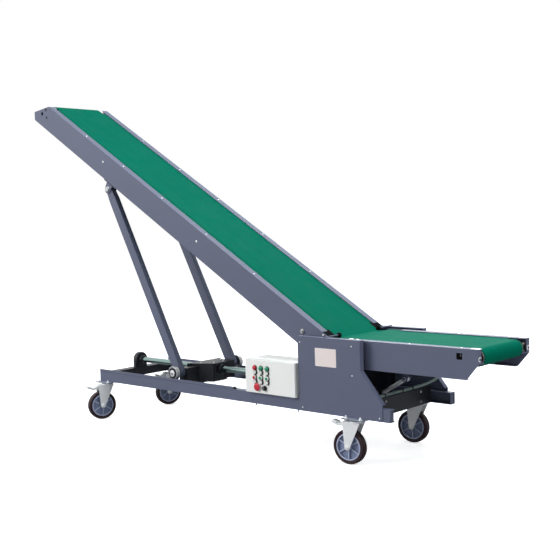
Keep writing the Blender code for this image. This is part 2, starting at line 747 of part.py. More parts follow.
# name, parent, distance from the knee
RETURN_ROLLERS = (
    ("snub_roller_head", boom, HEAD_SNUB),
    ("return_roller_high", boom, -HIGH_RETURN),
    ("return_roller_low", boom, -LOW_RETURN),
    ("snub_roller_tail", infeed, TAIL_SNUB),
)
for name, parent, reach in RETURN_ROLLERS:
    centre = (reach, RETURN_AXIS)
    roller(name, parent, centre, RETURN_ROLLER_RADIUS, DRUM_HALF, RETURN_SHAFT / 2, STEEL, SMALL_SIDES)


def bed(name, parent, start, end, top, ribs):
    """The sheet that carries the belt: folded down at both sides, with ribs across it underneath."""
    half = SHAFT_END_Y
    outline = [
        (-half, top - BED_SKIRT), (-half, top), (half, top), (half, top - BED_SKIRT),
        (half - BED_THICK, top - BED_SKIRT), (half - BED_THICK, top - BED_THICK),
        (-half + BED_THICK, top - BED_THICK), (-half + BED_THICK, top - BED_SKIRT),
    ]
    made = solid(name, prism(outline, start, end, "X"), SLATE, parent)
    rib_meshes = [
        block(x, x + BED_THICK, -half + 0.001, half - 0.001, top - BED_RIB, top - BED_THICK / 2) for x in ribs
    ]
    return join(made, *rib_meshes)


BED_FLOOR = BELT_THICK + SEAT_GAP
boom_bed_start = -HEAD_AXIS_REACH + HEAD_DRUM_RADIUS
infeed_bed_end = TAIL_AXIS_X - KNEE_X - TAIL_DRUM_RADIUS


def ribs_between(start, end, count):
    return [start + (end - start) * (i + 0.5) / count for i in range(count)]


bed(
    "boom_bed", boom, boom_bed_start, -BED_KNEE_GAP, BELT_TOP - BED_FLOOR,
    ribs_between(boom_bed_start, -BED_KNEE_GAP, BOOM_RIBS),
)
bed(
    "infeed_bed", infeed, BED_KNEE_GAP, infeed_bed_end, INFEED_BELT_TOP - BED_FLOOR,
    ribs_between(BED_KNEE_GAP, infeed_bed_end, INFEED_RIBS),
)

# Cross ties on the bottom flanges: name, parent, start, length, bottom
TIES = (
    ("boom_tie_high", boom, -HIGH_TIE, TIE_WIDTH, -BOOM_BOTTOM),
    ("boom_tie_low", boom, -LOW_TIE, TIE_WIDTH, -BOOM_BOTTOM),
    ("infeed_tie", infeed, EYE_X - KNEE_X - TIE_WIDTH / 2, INFEED_TIE_WIDTH, -INFEED_BOTTOM),
)
for name, parent, start, length, bottom in TIES:
    low = bottom + SHEET + SEAT_GAP
    solid(name, block(start, start + length, -SHAFT_END_Y, SHAFT_END_Y, low, low + TIE_HEIGHT), SLATE, parent)

# Press rollers that hold the belt's edges down in the bend
PRESS_INNER_Y = BELT_HALF - PRESS_WIDTH
bisector = math.radians(90) - BOOM_ANGLE / 2
press_reach = (PRESS_RADIUS + SEAT_GAP) / math.cos(BOOM_ANGLE / 2)
press_x = KNEE_X + KNEE_BEND_X + press_reach * math.sin(BOOM_ANGLE / 2)
press_z = KNEE_Z + INFEED_BELT_TOP + press_reach * math.cos(BOOM_ANGLE / 2)
for side_name, side in SIDES:
    disc_y = sorted((side * PRESS_INNER_Y, side * (PRESS_INNER_Y + PRESS_WIDTH)))
    stub_y = sorted((side * (PRESS_INNER_Y + PRESS_WIDTH / 2), side * (RAIL_OUTER_Y + SHEET)))
    join(
        bpy.data.objects[f"cheek_{side_name}"],
        bar((press_x, disc_y[0], press_z), (press_x, disc_y[1], press_z), PRESS_RADIUS),
        bar((press_x, stub_y[0], press_z), (press_x, stub_y[1], press_z), PRESS_STUB, SMALL_SIDES),
    )


# Lug brackets under the boom and the two struts
STRUT_OUTER_FACE = FRAME_OUTER_Y - LUG_THICK - 2 * PIN_PLAY
STRUT_INNER_FACE = STRUT_OUTER_FACE - STRUT_DEPTH
LUG_INNER_FACE = STRUT_INNER_FACE - 2 * PIN_PLAY - LUG_THICK
BAND_TOP = -BOOM_BOTTOM - SEAT_GAP


def lug(side_name, side):
    pin_at = (-PIN_REACH, -PIN_DROP)
    plate_x = (-PIN_REACH - LUG_LENGTH / 2, -PIN_REACH + LUG_LENGTH / 2)
    plate_y = sorted((side * FRAME_OUTER_Y, side * LUG_INNER_FACE))
    made = solid(
        f"strut_lug_{side_name}", block(*plate_x, *plate_y, BAND_TOP - LUG_BASE, BAND_TOP), SLATE, boom
    )
    outline = [
        (-PIN_REACH + LUG_FOOT, BAND_TOP - LUG_BASE / 2),
        (-PIN_REACH - LUG_FOOT, BAND_TOP - LUG_BASE / 2),
        *arc(pin_at, LUG_RADIUS, 180, 360, 14),
    ]
    # inner y and outer y of each lug plate, then of each pin head
    plates = ((LUG_INNER_FACE, LUG_INNER_FACE + LUG_THICK), (FRAME_OUTER_Y - LUG_THICK, FRAME_OUTER_Y))
    heads = (
        (LUG_INNER_FACE - PIN_HEAD_RISE, LUG_INNER_FACE + LUG_THICK / 2),
        (FRAME_OUTER_Y - LUG_THICK / 2, FRAME_OUTER_Y + PIN_HEAD_RISE),
    )
    join(made, *[prism(outline, *sorted((side * low, side * high))) for low, high in plates])
    for low, high in heads:
        ends = [(pin_at[0], side * y, pin_at[1]) for y in (low, high)]
        join(made, bar(*ends, PIN_HEAD, SMALL_SIDES))
    return made


pin_x = KNEE_X - PIN_REACH * cos_boom - PIN_DROP * sin_boom
pin_z = KNEE_Z + PIN_REACH * sin_boom - PIN_DROP * cos_boom
STRUT_LENGTH = math.hypot(pin_x - FOOT_X, pin_z - FOOT_Z)
STRUT_LEAN = math.atan2(pin_x - FOOT_X, pin_z - FOOT_Z)
carriage = empty("Carriage", machine, (FOOT_X, 0, FOOT_Z))
struts = empty("Strut hinge", carriage, (0, 0, 0), STRUT_LEAN)


def strut(side_name, side):
    half = STRUT_WIDTH / 2
    shoulder = STRUT_LENGTH - STRUT_NECK
    outline = [
        *arc((0, 0), half, 180, 360, 16), (half, shoulder), *arc((0, STRUT_LENGTH), STRUT_EYE, 0, 180, 12),
        (-half, shoulder),
    ]
    made = solid(
        f"strut_{side_name}",
        prism(outline, *sorted((side * STRUT_INNER_FACE, side * STRUT_OUTER_FACE))),
        SLATE, struts,
    )
    return cut(
        made,
        bar(
            (0, side * (STRUT_INNER_FACE - 0.01), 0), (0, side * (STRUT_OUTER_FACE + 0.01), 0),
            AXLE_RADIUS + PIN_PLAY,
        ),
    )


for side_name, side in SIDES:
    lug(side_name, side)
    strut(side_name, side)


# Carriage that the struts stand on
ROLLER_INNER_FACE = RAIL_INNER_Y + ROLLER_SIDE_GAP
beam_half = STRUT_INNER_FACE - BEAM_SIDE_GAP
beam = solid(
    "carriage_beam",
    block(-BEAM_BACK, BEAM_FRONT, -beam_half, beam_half, -BEAM_DROP, BEAM_RISE),
    DARK, carriage,
)
housing_back = -BEAM_BACK + HOUSING_SETBACK
housing_outline = [
    (housing_back, -HOUSING_WIDE_Y), (HOUSING_FRONT, -HOUSING_NARROW_Y), (HOUSING_FRONT, HOUSING_NARROW_Y),
    (housing_back, HOUSING_WIDE_Y),
]
join(beam, prism(housing_outline, HOUSING_BOTTOM_Z - FOOT_Z, HOUSING_TOP_Z - FOOT_Z, "Z"))
axle_end = ROLLER_INNER_FACE + ROLLER_WIDTH + AXLE_OVERHANG
for side in (-1, 1):
    join(
        beam,
        bar((0, side * (beam_half - 0.010), 0), (0, side * axle_end, 0), AXLE_RADIUS),
    )
cut(beam, bar((-0.1, 0, SCREW_Z - FOOT_Z), (0.2, 0, SCREW_Z - FOOT_Z), SCREW_RADIUS + 2 * PIN_PLAY))

for side_name, side in SIDES:
    inner, outer = ROLLER_INNER_FACE, ROLLER_INNER_FACE + ROLLER_WIDTH
    groove_y = outer - ROLLER_GROOVE
    groove_out, groove_in = ROLLER_RADIUS - 0.010, AXLE_RADIUS + 0.009
    bore, bevelled = AXLE_RADIUS + SEAT_GAP, ROLLER_RADIUS - ROLLER_BEVEL
    profile = [
        (bore, inner), (bevelled, inner), (ROLLER_RADIUS, inner + ROLLER_BEVEL),
        (ROLLER_RADIUS, outer - ROLLER_BEVEL), (bevelled, outer), (groove_out, outer),
        (groove_out, groove_y), (groove_in, groove_y), (groove_in, outer), (bore, outer),
    ]
    made = solid(
        f"carriage_roller_{side_name}", turned([(r, side * y) for r, y in profile]), STEEL, carriage
    )
    smooth(made)

nut = solid(
    "screw_nut",
    block(
        HOUSING_FRONT + SEAT_GAP, HOUSING_FRONT + SEAT_GAP + NUT_PLATE, -NUT_HALF, NUT_HALF,
        SCREW_Z - FOOT_Z - NUT_LOW, SCREW_Z - FOOT_Z + NUT_HIGH,
    ),
    DARK, carriage,
)
nut_face = HOUSING_FRONT + SEAT_GAP + NUT_PLATE
nut_inside = nut_face - NUT_PLATE / 4
screw_level = SCREW_Z - FOOT_Z
join(nut, bar((nut_inside, 0, screw_level), (nut_face + NUT_COLLAR_DEPTH, 0, screw_level), NUT_COLLAR_RADIUS))
for y in (-NUT_BOLT_Y, NUT_BOLT_Y):
    for z in (screw_level - NUT_BOLT_LOW, screw_level + NUT_BOLT_HIGH):
        join(nut, bar((nut_inside, y, z), (nut_face + BOLT_HEAD, y, z), END_BOLT_RADIUS, 6))
cut(nut, bar((0.1, 0, SCREW_Z - FOOT_Z), (0.3, 0, SCREW_Z - FOOT_Z), SCREW_RADIUS + 2 * PIN_PLAY))


# Tilt actuator between the tilt beam and the infeed
tilt_lean = -math.atan2(EYE_Z - TILT_BASE_Z, EYE_X - TILT_BASE_X)
tilt_length = math.hypot(EYE_X - TILT_BASE_X, EYE_Z - TILT_BASE_Z)
cylinder = empty("Tilt cylinder", machine, (TILT_BASE_X, 0, TILT_BASE_Z), tilt_lean)
tilt_body = solid(
    "tilt_cylinder", bar((TILT_EYE_RADIUS, 0, 0), (TILT_BODY_LENGTH, 0, 0), TILT_BODY_RADIUS), DARK, cylinder
)
join(tilt_body, bar((0, -TILT_EYE_HALF, 0), (0, TILT_EYE_HALF, 0), TILT_BASE_EYE))
cut(
    tilt_body,
    bar((0, -0.03, 0), (0, 0.03, 0), TILT_PIN_RADIUS + PIN_PLAY, SMALL_SIDES),
    bar((TILT_BORE_START, 0, 0), (TILT_BODY_LENGTH + 0.01, 0, 0), TILT_ROD_RADIUS + PIN_PLAY),
)
rod_start, rod_end = (TILT_ROD_START, 0, 0), (tilt_length - TILT_EYE_RADIUS / 2, 0, 0)
tilt_rod = solid("tilt_rod", bar(rod_start, rod_end, TILT_ROD_RADIUS), CHROME, cylinder)
join(tilt_rod, bar((tilt_length, -TILT_EYE_HALF, 0), (tilt_length, TILT_EYE_HALF, 0), TILT_EYE_RADIUS))
cut(tilt_rod, bar((tilt_length, -0.03, 0), (tilt_length, 0.03, 0), TILT_PIN_RADIUS + EYE_SLACK, SMALL_SIDES))
smooth(tilt_body, tilt_rod)


def clevis(base, pin, foot, turn):
    """Adds two plates with a pin through them to a cross member. The foot is two points inside the member,
    and the round end turns between two angles, in degrees, from the second foot point's side."""
    inner = TILT_EYE_HALF + CLEVIS_GAP
    outline = [*foot, *arc(pin, TILT_EYE_RADIUS, *turn, 12)]
    for side in (-1, 1):
        join(base, prism(outline, *sorted((side * inner, side * (inner + CLEVIS_THICK)))))
    reach = inner + CLEVIS_THICK + 0.004
    return join(base, bar((pin[0], -reach, pin[1]), (pin[0], reach, pin[1]), TILT_PIN_RADIUS, SMALL_SIDES))


eye_local = (EYE_X - KNEE_X, EYE_Z - KNEE_Z)
eye_seat = -INFEED_BOTTOM + SHEET + TIE_HEIGHT / 2
clevis(
    bpy.data.objects["infeed_tie"], eye_local,
    [(eye_local[0] + 0.060, eye_seat), (eye_local[0] - 0.020, eye_seat)], (180, 360),
)
foot_x = tilt_beam_right - 0.010
clevis(
    bpy.data.objects["tilt_beam"], (TILT_BASE_X, TILT_BASE_Z),
    [(foot_x, TILT_BEAM_TOP - 0.004), (foot_x, BEAM_BOTTOM + 0.002)], (-90, 90),
)


# Control box with its door
def control_box():
    back_y = BOX_FRONT_Y - BOX_DEPTH
    front_y = BOX_FRONT_Y - DOOR_THICK - SEAT_GAP
    bottom = RAIL_TOP + SEAT_GAP
    made = solid(
        "control_box",
        block(BOX_LEFT, BOX_LEFT + BOX_WIDTH, -front_y, -back_y, bottom, bottom + BOX_HEIGHT),
        BOX, machine,
    )
    return cut(
        made,
        block(
            BOX_LEFT + BOX_WALL, BOX_LEFT + BOX_WIDTH - BOX_WALL, -front_y - 0.05, -back_y - BOX_WALL,
            bottom + BOX_WALL, bottom + BOX_HEIGHT - BOX_WALL,
        ),
    )


control_box()
door_hinge = empty("Door hinge", machine, (BOX_LEFT, -(BOX_FRONT_Y - DOOR_THICK), RAIL_TOP + BOX_HEIGHT / 2))
door = solid(
    "control_door",
    block(
        SEAT_GAP, BOX_WIDTH, -DOOR_THICK, 0, -BOX_HEIGHT / 2 + DOOR_MARGIN, BOX_HEIGHT / 2 - SEAT_GAP,
    ),
    BOX, door_hinge,
)
# x from the hinge, z down from the box's top, radius, height
BUTTONS = (
    (0.079, 0.048, 0.0125, 0.010), (0.129, 0.048, 0.0125, 0.010), (0.179, 0.048, 0.0125, 0.010),
    (0.083, 0.074, 0.0110, 0.010), (0.131, 0.074, 0.0110, 0.010), (0.179, 0.074, 0.0110, 0.010),
    (0.079, 0.106, 0.0125, 0.010), (0.129, 0.106, 0.0125, 0.010), (0.179, 0.106, 0.0125, 0.010),
    (0.083, 0.131, 0.0110, 0.010), (0.131, 0.131, 0.0110, 0.010), (0.179, 0.131, 0.0110, 0.010),
    (0.156, 0.166, 0.0140, 0.014),
)
for x, down, radius, height in BUTTONS:
    z = BOX_HEIGHT / 2 - down
    join(door, bar((x, -DOOR_THICK + 0.002, z), (x, -DOOR_THICK - height, z), radius, SMALL_SIDES))
stop_z = BOX_HEIGHT / 2 - 0.163
stop_face = -DOOR_THICK
stop_button = turned([
    (0, stop_face + 0.002), (0.010, stop_face + 0.002), (0.010, stop_face - 0.006),
    (0.020, stop_face - 0.008), (0.020, stop_face - 0.011), (0.013, stop_face - 0.0135),
    (0, stop_face - 0.0135),
], "Y", 24)
bmesh.ops.translate(stop_button, vec=(0.100, 0, stop_z), verts=stop_button.verts)
smooth(join(door, stop_button))


# Casters: name, swivel x, side, turn about the swivel
SWIVEL_RIGHT_X = SWIVEL_LEFT_X + SWIVEL_BASE
CASTERS = (
    ("near_left", SWIVEL_LEFT_X, -1, LEFT_TURN),
    ("near_right", SWIVEL_RIGHT_X, -1, RIGHT_TURN),
    ("far_left", SWIVEL_LEFT_X, 1, LEFT_TURN),
    ("far_right", SWIVEL_RIGHT_X, 1, RIGHT_TURN),
)
FORK_TOP = RAIL_BOTTOM - SEAT_GAP - CASTER_PLATE_THICK - RACE_DEPTH - SEAT_GAP


def caster_fork(name, swivel):
    crown_low, crown_mid = FORK_TOP - CROWN_DEPTH, FORK_TOP - CROWN_DEPTH / 2
    outer = WHEEL_WIDTH / 2 + LEG_GAP + FORK_WALL
    crown = bar((0, 0, crown_low), (0, 0, FORK_TOP), RACE_RADIUS + FORK_WALL)
    fork = solid(f"caster_fork_{name}", crown, ZINC, swivel)
    leg = [
        (LEG_FRONT, crown_mid), (-LEG_BACK, crown_mid),
        *arc((-TRAIL, WHEEL_RADIUS), LEG_END_RADIUS, 180, 360, 10),
    ]
    legs = [prism(leg, *sorted((side * outer, side * (outer - FORK_WALL)))) for side in (-1, 1)]
    axle_y = outer + AXLE_HEAD
    axle = bar((-TRAIL, -axle_y, WHEEL_RADIUS), (-TRAIL, axle_y, WHEEL_RADIUS), AXLE_BOLT, SMALL_SIDES)
    heel = -LEG_BACK + FORK_WALL
    elbow = (heel - PEDAL_REACH) / 2
    pedal_high, pedal_low = FORK_TOP - PEDAL_TOP, FORK_TOP - PEDAL_LOW
    pedal = prism(
        [
            (heel, pedal_low + 0.004), (elbow, pedal_low), (-PEDAL_REACH, pedal_high - 0.006),
            (-PEDAL_REACH + 0.002, pedal_high), (elbow, pedal_low + 0.012), (heel, pedal_high + 0.006),
        ],
        -PEDAL_HALF, PEDAL_HALF,
    )
    return join(fork, block(-LEG_BACK, LEG_FRONT, -outer, outer, crown_low, crown_mid), *legs, axle, pedal)


def caster_wheel(name, hub):
    """A spoked core and the tyre round it."""
    half = WHEEL_WIDTH / 2
    face = half + 0.003
    edge = half - 0.003
    bore = AXLE_BOLT + SEAT_GAP
    rim = WHEEL_RADIUS - TREAD_THICK
    inner = rim - CORE_RIM
    profile = [
        (bore, -face), (CORE_HUB, -face), (CORE_HUB, -CORE_WEB), (inner, -CORE_WEB), (inner + 0.003, -edge),
        (rim - SEAT_GAP, -edge), (rim - SEAT_GAP, edge), (inner + 0.003, edge), (inner, CORE_WEB),
        (CORE_HUB, CORE_WEB), (CORE_HUB, face), (bore, face),
    ]
    core = solid(f"caster_core_{name}", turned(profile), CORE, hub)
    for k in range(SPOKES):
        across = Matrix.Rotation(2 * math.pi * (k + 0.5) / SPOKES, 4, "Y")
        spoke_y = edge - 0.004
        spoke = block(CORE_HUB - 0.003, inner + 0.003, -spoke_y, spoke_y, -SPOKE_WIDTH / 2, SPOKE_WIDTH / 2)
        bmesh.ops.transform(spoke, matrix=across, verts=spoke.verts)
        join(core, spoke)
    shoulder = WHEEL_RADIUS - 0.001
    tread = [
        (rim, -edge), (WHEEL_RADIUS - 0.007, -half), (shoulder, -half + 0.007), (WHEEL_RADIUS, 0),
        (shoulder, half - 0.007), (WHEEL_RADIUS - 0.007, half), (rim, edge),
    ]
    tyre = solid(f"caster_tyre_{name}", turned(tread, "Y", TYRE_SIDES), TREAD, hub)
    return smooth(core, tyre)


def caster(name, swivel_x, side, turn):
    y = side * WHEEL_TRACK / 2
    plate_top = RAIL_BOTTOM - SEAT_GAP
    plate_low = plate_top - CASTER_PLATE_THICK
    half_x, half_y = CASTER_PLATE_X / 2, CASTER_PLATE_Y / 2
    plate = solid(
        f"caster_plate_{name}", block(-half_x, half_x, -half_y, half_y, plate_low, plate_top), ZINC, machine,
        (swivel_x, y, 0),
    )
    race_ends = ((0, 0, plate_low - RACE_DEPTH), (0, 0, plate_top - CASTER_PLATE_THICK / 2))
    smooth(join(plate, bar(*race_ends, RACE_RADIUS)))
    swivel = empty(f"Swivel {name}", machine, (swivel_x, y, 0))
    swivel.rotation_euler.z = turn
    caster_fork(name, swivel)
    caster_wheel(name, empty(f"Hub {name}", swivel, (-TRAIL, 0, WHEEL_RADIUS)))


for name, swivel_x, side, turn in CASTERS:
    caster(name, swivel_x, side, turn)


# Cable conduit: along the front beam, then up towards the infeed
def smooth_path(points, steps):
    """Points along a Catmull-Rom curve through the given ones."""
    points = [Vector(p) for p in points]
    ends = [2 * points[0] - points[1], *points, 2 * points[-1] - points[-2]]
    path = []
    for i in range(1, len(ends) - 2):
        a, b, c, d = ends[i - 1 : i + 3]
        for k in range(steps):
            t = k / steps
            bend = (2 * a - 5 * b + 4 * c - d) * t**2 + (3 * b - a - 3 * c + d) * t**3
            path.append((2 * b + (c - a) * t + bend) / 2)
    return path + [points[-1]]


def tube(name, path, radius, look, parent):
    """A round tube along a path, with closed ends."""
    curve = bpy.data.curves.new(name, "CURVE")
    curve.dimensions = "3D"
    curve.bevel_depth = radius
    curve.bevel_resolution = 3
    curve.use_fill_caps = True
    spline = curve.splines.new("POLY")
    spline.points.add(len(path) - 1)
    for place, point in zip(spline.points, path):
        place.co = (*point, 1)
    curve.materials.append(look)
    made = bpy.data.objects.new(name, curve)
    bpy.context.collection.objects.link(made)
    made.parent = parent
    return made


conduit_x = FRONT_BEAM_X - CONDUIT_INSET
conduit_z = FRONT_BEAM_TOP + SEAT_GAP + CONDUIT_RADIUS
conduit_route = [
    (conduit_x, -BEAM_INNER_Y, conduit_z),
    *[(conduit_x + forward, y, conduit_z + rise) for forward, y, rise in CONDUIT_BENDS],
    (conduit_x + CONDUIT_END_FORWARD, CONDUIT_END_Y, CONDUIT_END_Z),
]
# the curve would dip into the beam just before its first bend, so it is held on the beam's top
conduit_path = [(x, y, max(z, conduit_z)) for x, y, z in smooth_path(conduit_route, 4)]
tube("cable_conduit", conduit_path, CONDUIT_RADIUS, ZINC, machine)

# The left casters trail towards the near side, so the machine's middle lies beside the rails' centre plane
bpy.context.view_layer.update()
caster_y = [
    (made.matrix_world @ vertex.co).y
    for made in bpy.data.objects
    if made.type == "MESH" and made.name.startswith("caster_")
    for vertex in made.data.vertices
]
machine.location.y = -(min(caster_y) + max(caster_y)) / 2
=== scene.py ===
# Looks for a mobile climbing belt conveyor: materials, fittings, studio and camera
import json
from math import asin, atan2, cos, degrees, pi, radians, sin

import bmesh
import bpy
import numpy as np
from mathutils import Matrix, Vector


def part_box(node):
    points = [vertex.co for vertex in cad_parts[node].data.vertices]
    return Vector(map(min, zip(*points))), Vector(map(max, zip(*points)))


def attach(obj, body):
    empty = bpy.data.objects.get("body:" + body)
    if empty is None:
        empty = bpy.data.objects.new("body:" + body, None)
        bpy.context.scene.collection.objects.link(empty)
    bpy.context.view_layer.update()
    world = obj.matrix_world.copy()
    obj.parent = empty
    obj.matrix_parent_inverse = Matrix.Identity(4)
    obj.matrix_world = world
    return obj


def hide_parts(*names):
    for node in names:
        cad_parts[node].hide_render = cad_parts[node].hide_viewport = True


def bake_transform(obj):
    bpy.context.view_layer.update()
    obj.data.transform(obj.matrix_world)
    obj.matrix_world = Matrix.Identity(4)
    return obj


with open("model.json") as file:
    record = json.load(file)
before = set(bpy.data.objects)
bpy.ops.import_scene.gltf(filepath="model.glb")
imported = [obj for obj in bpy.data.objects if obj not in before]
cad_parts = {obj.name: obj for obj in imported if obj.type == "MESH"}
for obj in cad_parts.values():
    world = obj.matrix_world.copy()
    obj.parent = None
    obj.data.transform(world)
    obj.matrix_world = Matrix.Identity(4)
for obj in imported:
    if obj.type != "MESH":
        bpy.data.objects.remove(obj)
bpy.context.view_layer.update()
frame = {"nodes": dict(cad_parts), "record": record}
joints = {joint["name"]: joint for joint in frame["record"]["behaviour"]["joints"]}
middle = 1.11455  # x of the machine's middle, counted from 30 mm inside the rails' left end
knee = Vector(joints["boom_lift"]["pos_m"])
across = knee.y  # the rails' centre plane
boomAngle = radians(31.05)
onBoom = Matrix.Translation(knee) @ Matrix.Rotation(boomAngle, 4, "Y")
onKnee = Matrix.Translation(knee)
sides = (("near", -1), ("far", 1))
# Each caster's name, swivel, hub and the direction of its axle
corners = [(name, Vector(joints[f"swivel_{name}"]["pos_m"]), Vector(joints[f"roll_{name}"]["pos_m"]),
            Vector(joints[f"roll_{name}"]["axis"]))
           for name in ("near_left", "near_right", "far_left", "far_right")]


def srgb(red, green, blue):
    # Screen colour (0 to 255) to scene colour
    parts = [value / 255 for value in (red, green, blue)]
    return tuple(v / 12.92 if v <= 0.04045 else ((v + 0.055) / 1.055) ** 2.4 for v in parts)


def newObject(name, data):
    made = bpy.data.objects.new(name, data)
    bpy.context.collection.objects.link(made)
    return made


# Camera at the photograph's place
view = {"place": (4.2637, -4.4049, 1.3779), "yaw": 0.7598, "pitch": -0.0968, "roll": -0.0337,
        "lens": 60.95, "shift": (0.0557, 0.0562)}


def makeCamera():
    yaw, pitch, roll = view["yaw"], view["pitch"], view["roll"]
    ahead = Vector((-sin(yaw) * cos(pitch), cos(yaw) * cos(pitch), sin(pitch)))
    level = Vector((cos(yaw), sin(yaw), 0))
    upright = level.cross(ahead)
    right = level * cos(roll) + upright * sin(roll)
    up = upright * cos(roll) - level * sin(roll)
    data = bpy.data.cameras.new("photoCamera")
    data.sensor_width, data.lens = 36, view["lens"]
    data.shift_x, data.shift_y = view["shift"]
    camera = newObject("photoCamera", data)
    turn = Matrix((right, up, -ahead)).transposed().to_4x4()
    camera.matrix_world = Matrix.Translation(view["place"]) @ turn
    bpy.context.scene.camera = camera


makeCamera()
print("camera done")


# Shader helpers
def feed(tree, node, inputs):
    # Sets sockets from (socket, value or output) pairs
    for socket, value in inputs:
        if isinstance(value, bpy.types.NodeSocket):
            tree.links.new(value, node.inputs[socket])
        else:
            node.inputs[socket].default_value = value
    return node


def add(tree, kind, inputs=(), **settings):
    node = tree.nodes.new("ShaderNode" + kind)
    for key, value in settings.items():
        setattr(node, key, value)
    return feed(tree, node, inputs)


def sums(tree, operation, *values, clamp=False):
    return add(tree, "Math", enumerate(values), operation=operation, use_clamp=clamp).outputs[0]


def times(tree, first, second):
    return sums(tree, "MULTIPLY", first, second)


def line(tree, value, slope, rest, clamp=False):
    # value * slope + rest
    return sums(tree, "MULTIPLY_ADD", value, slope, rest, clamp=clamp)


def ramp(tree, value, low, high, start=0, end=1):
    # start + (end - start) * (value - low) / (high - low), held between start and end
    return add(tree, "MapRange", enumerate((value, low, high, start, end)), clamp=True).outputs[0]


def noise(tree, place, scale, detail, rough=0.5):
    pairs = (("Vector", place), ("Scale", scale), ("Detail", detail), ("Roughness", rough))
    return add(tree, "TexNoise", pairs).outputs["Fac"]


def blendColour(tree, amount, first, second, how="MIX"):
    first, second = ((*c, 1) if isinstance(c, tuple) else c for c in (first, second))
    return add(tree, "Mix", ((0, amount), (6, first), (7, second)), data_type="RGBA", blend_type=how).outputs[2]


def group(name, numbers, **outputs):
    # An empty node group: a vector and numbers with their defaults go in, named sockets come out
    tree = bpy.data.node_groups.new(name, "ShaderNodeTree")
    tree.interface.new_socket("Vector", in_out="INPUT", socket_type="NodeSocketVector")
    for label, default in numbers.items():
        tree.interface.new_socket(label, in_out="INPUT", socket_type="NodeSocketFloat").default_value = default
    for label, kind in outputs.items():
        tree.interface.new_socket(label, in_out="OUTPUT", socket_type="NodeSocket" + kind)
    return tree, tree.nodes.new("NodeGroupInput").outputs, tree.nodes.new("NodeGroupOutput").inputs


def fineGrain():
    # Small bumps on coated or moulded surfaces, on top of softened edges
    numbers = {"Size": 400, "Depth": 0.1, "Edge": 0.0012}
    tree, given, out = group("fineGrain", numbers, Normal="Vector", Rim="Float")
    near = noise(tree, given["Vector"], given["Size"], 2)
    wide = noise(tree, given["Vector"], times(tree, given["Size"], 0.12), 3)
    height = line(tree, wide, 0.6, near)
    edge = add(tree, "Bevel", (("Radius", given["Edge"]),), samples=4).outputs[0]
    normal = add(tree, "Bump", (("Height", height), ("Strength", given["Depth"]), ("Distance", 0.0004),
                                ("Normal", edge)))
    flat = add(tree, "NewGeometry").outputs["Normal"]
    agree = add(tree, "VectorMath", ((0, edge), (1, flat)), operation="DOT_PRODUCT")
    tree.links.new(normal.outputs[0], out["Normal"])
    tree.links.new(ramp(tree, agree.outputs["Value"], 0.995, 0.9), out["Rim"])
    return tree


def settledDust():
    # Dust on faces that look up, broken into patches, and a little everywhere
    tree, given, out = group("settledDust", {"Amount": 0.3}, Mask="Float")
    parts = add(tree, "SeparateXYZ", ((0, add(tree, "NewGeometry").outputs["Normal"]),))
    upward = ramp(tree, parts.outputs["Z"], 0.2, 0.95)
    cloud = ramp(tree, noise(tree, given["Vector"], 7, 6, 0.62), 0.38, 0.72)
    level = line(tree, upward, 0.75, 0.12)
    tree.links.new(times(tree, times(tree, level, cloud), given["Amount"]), out["Mask"])
    return tree


def longScuffs():
    # Thin rubbed lines, mostly along X, at two scales
    tree, given, out = group("longScuffs", {"Cover": 0.5}, Mask="Float")
    masks = []
    for stretch, level in (((3, 60, 90), 0.7), ((40, 9, 25), 0.74)):
        lines = add(tree, "Mapping", (("Vector", given["Vector"]), ("Scale", stretch),
                                      ("Rotation", (0.1, 0.3, 0.2))))
        masks.append(ramp(tree, noise(tree, lines.outputs[0], 1, 4), level - 0.06, level + 0.03))
    tree.links.new(times(tree, sums(tree, "MAXIMUM", *masks), given["Cover"]), out["Mask"])
    return tree


def tintPatches():
    # Slow changes of tone across a surface, as a factor around 1, and finer mottling
    tree, given, out = group("tintPatches", {"Spread": 0.1}, Factor="Float", Mottle="Float")
    slow = noise(tree, given["Vector"], 1.6, 3)
    quick = noise(tree, given["Vector"], 24, 5, 0.6)
    centred = sums(tree, "SUBTRACT", line(tree, quick, 0.35, slow), 0.675)
    tree.links.new(line(tree, centred, given["Spread"], 1), out["Factor"])
    tree.links.new(quick, out["Mottle"])
    return tree


groups = {tree.name: tree for tree in (fineGrain(), settledDust(), longScuffs(), tintPatches())}


def useGroup(tree, name, place, *inputs):
    return add(tree, "Group", (("Vector", place), *inputs), node_tree=groups[name]).outputs


def newMaterial(name, colour):
    material = bpy.data.materials.new(name)
    material.use_nodes = True
    material.diffuse_color = (*colour, 1)
    tree = material.node_tree
    place = add(tree, "TexCoord").outputs["Object"]
    return material, tree, tree.nodes["Principled BSDF"], place


def scaled(tree, colour, factor):
    # The colour times a factor around 1
    grey = add(tree, "CombineColor", ((0, factor), (1, factor), (2, factor))).outputs[0]
    return blendColour(tree, 1, colour, grey, "MULTIPLY")


def surface(name, screen, spread, size, grain, edge=0.0012):
    # What most looks share: a base colour with tone patches, and a grained skin with softened edges
    colour = srgb(*screen)
    material, tree, shader, place = newMaterial(name, colour)
    tint = useGroup(tree, "tintPatches", place, ("Spread", spread))
    skin = useGroup(tree, "fineGrain", place, ("Size", size), ("Depth", grain), ("Edge", edge))
    tree.links.new(skin["Normal"], shader.inputs["Normal"])
    return material, tree, shader, place, scaled(tree, colour, tint["Factor"]), tint["Mottle"], skin["Rim"]


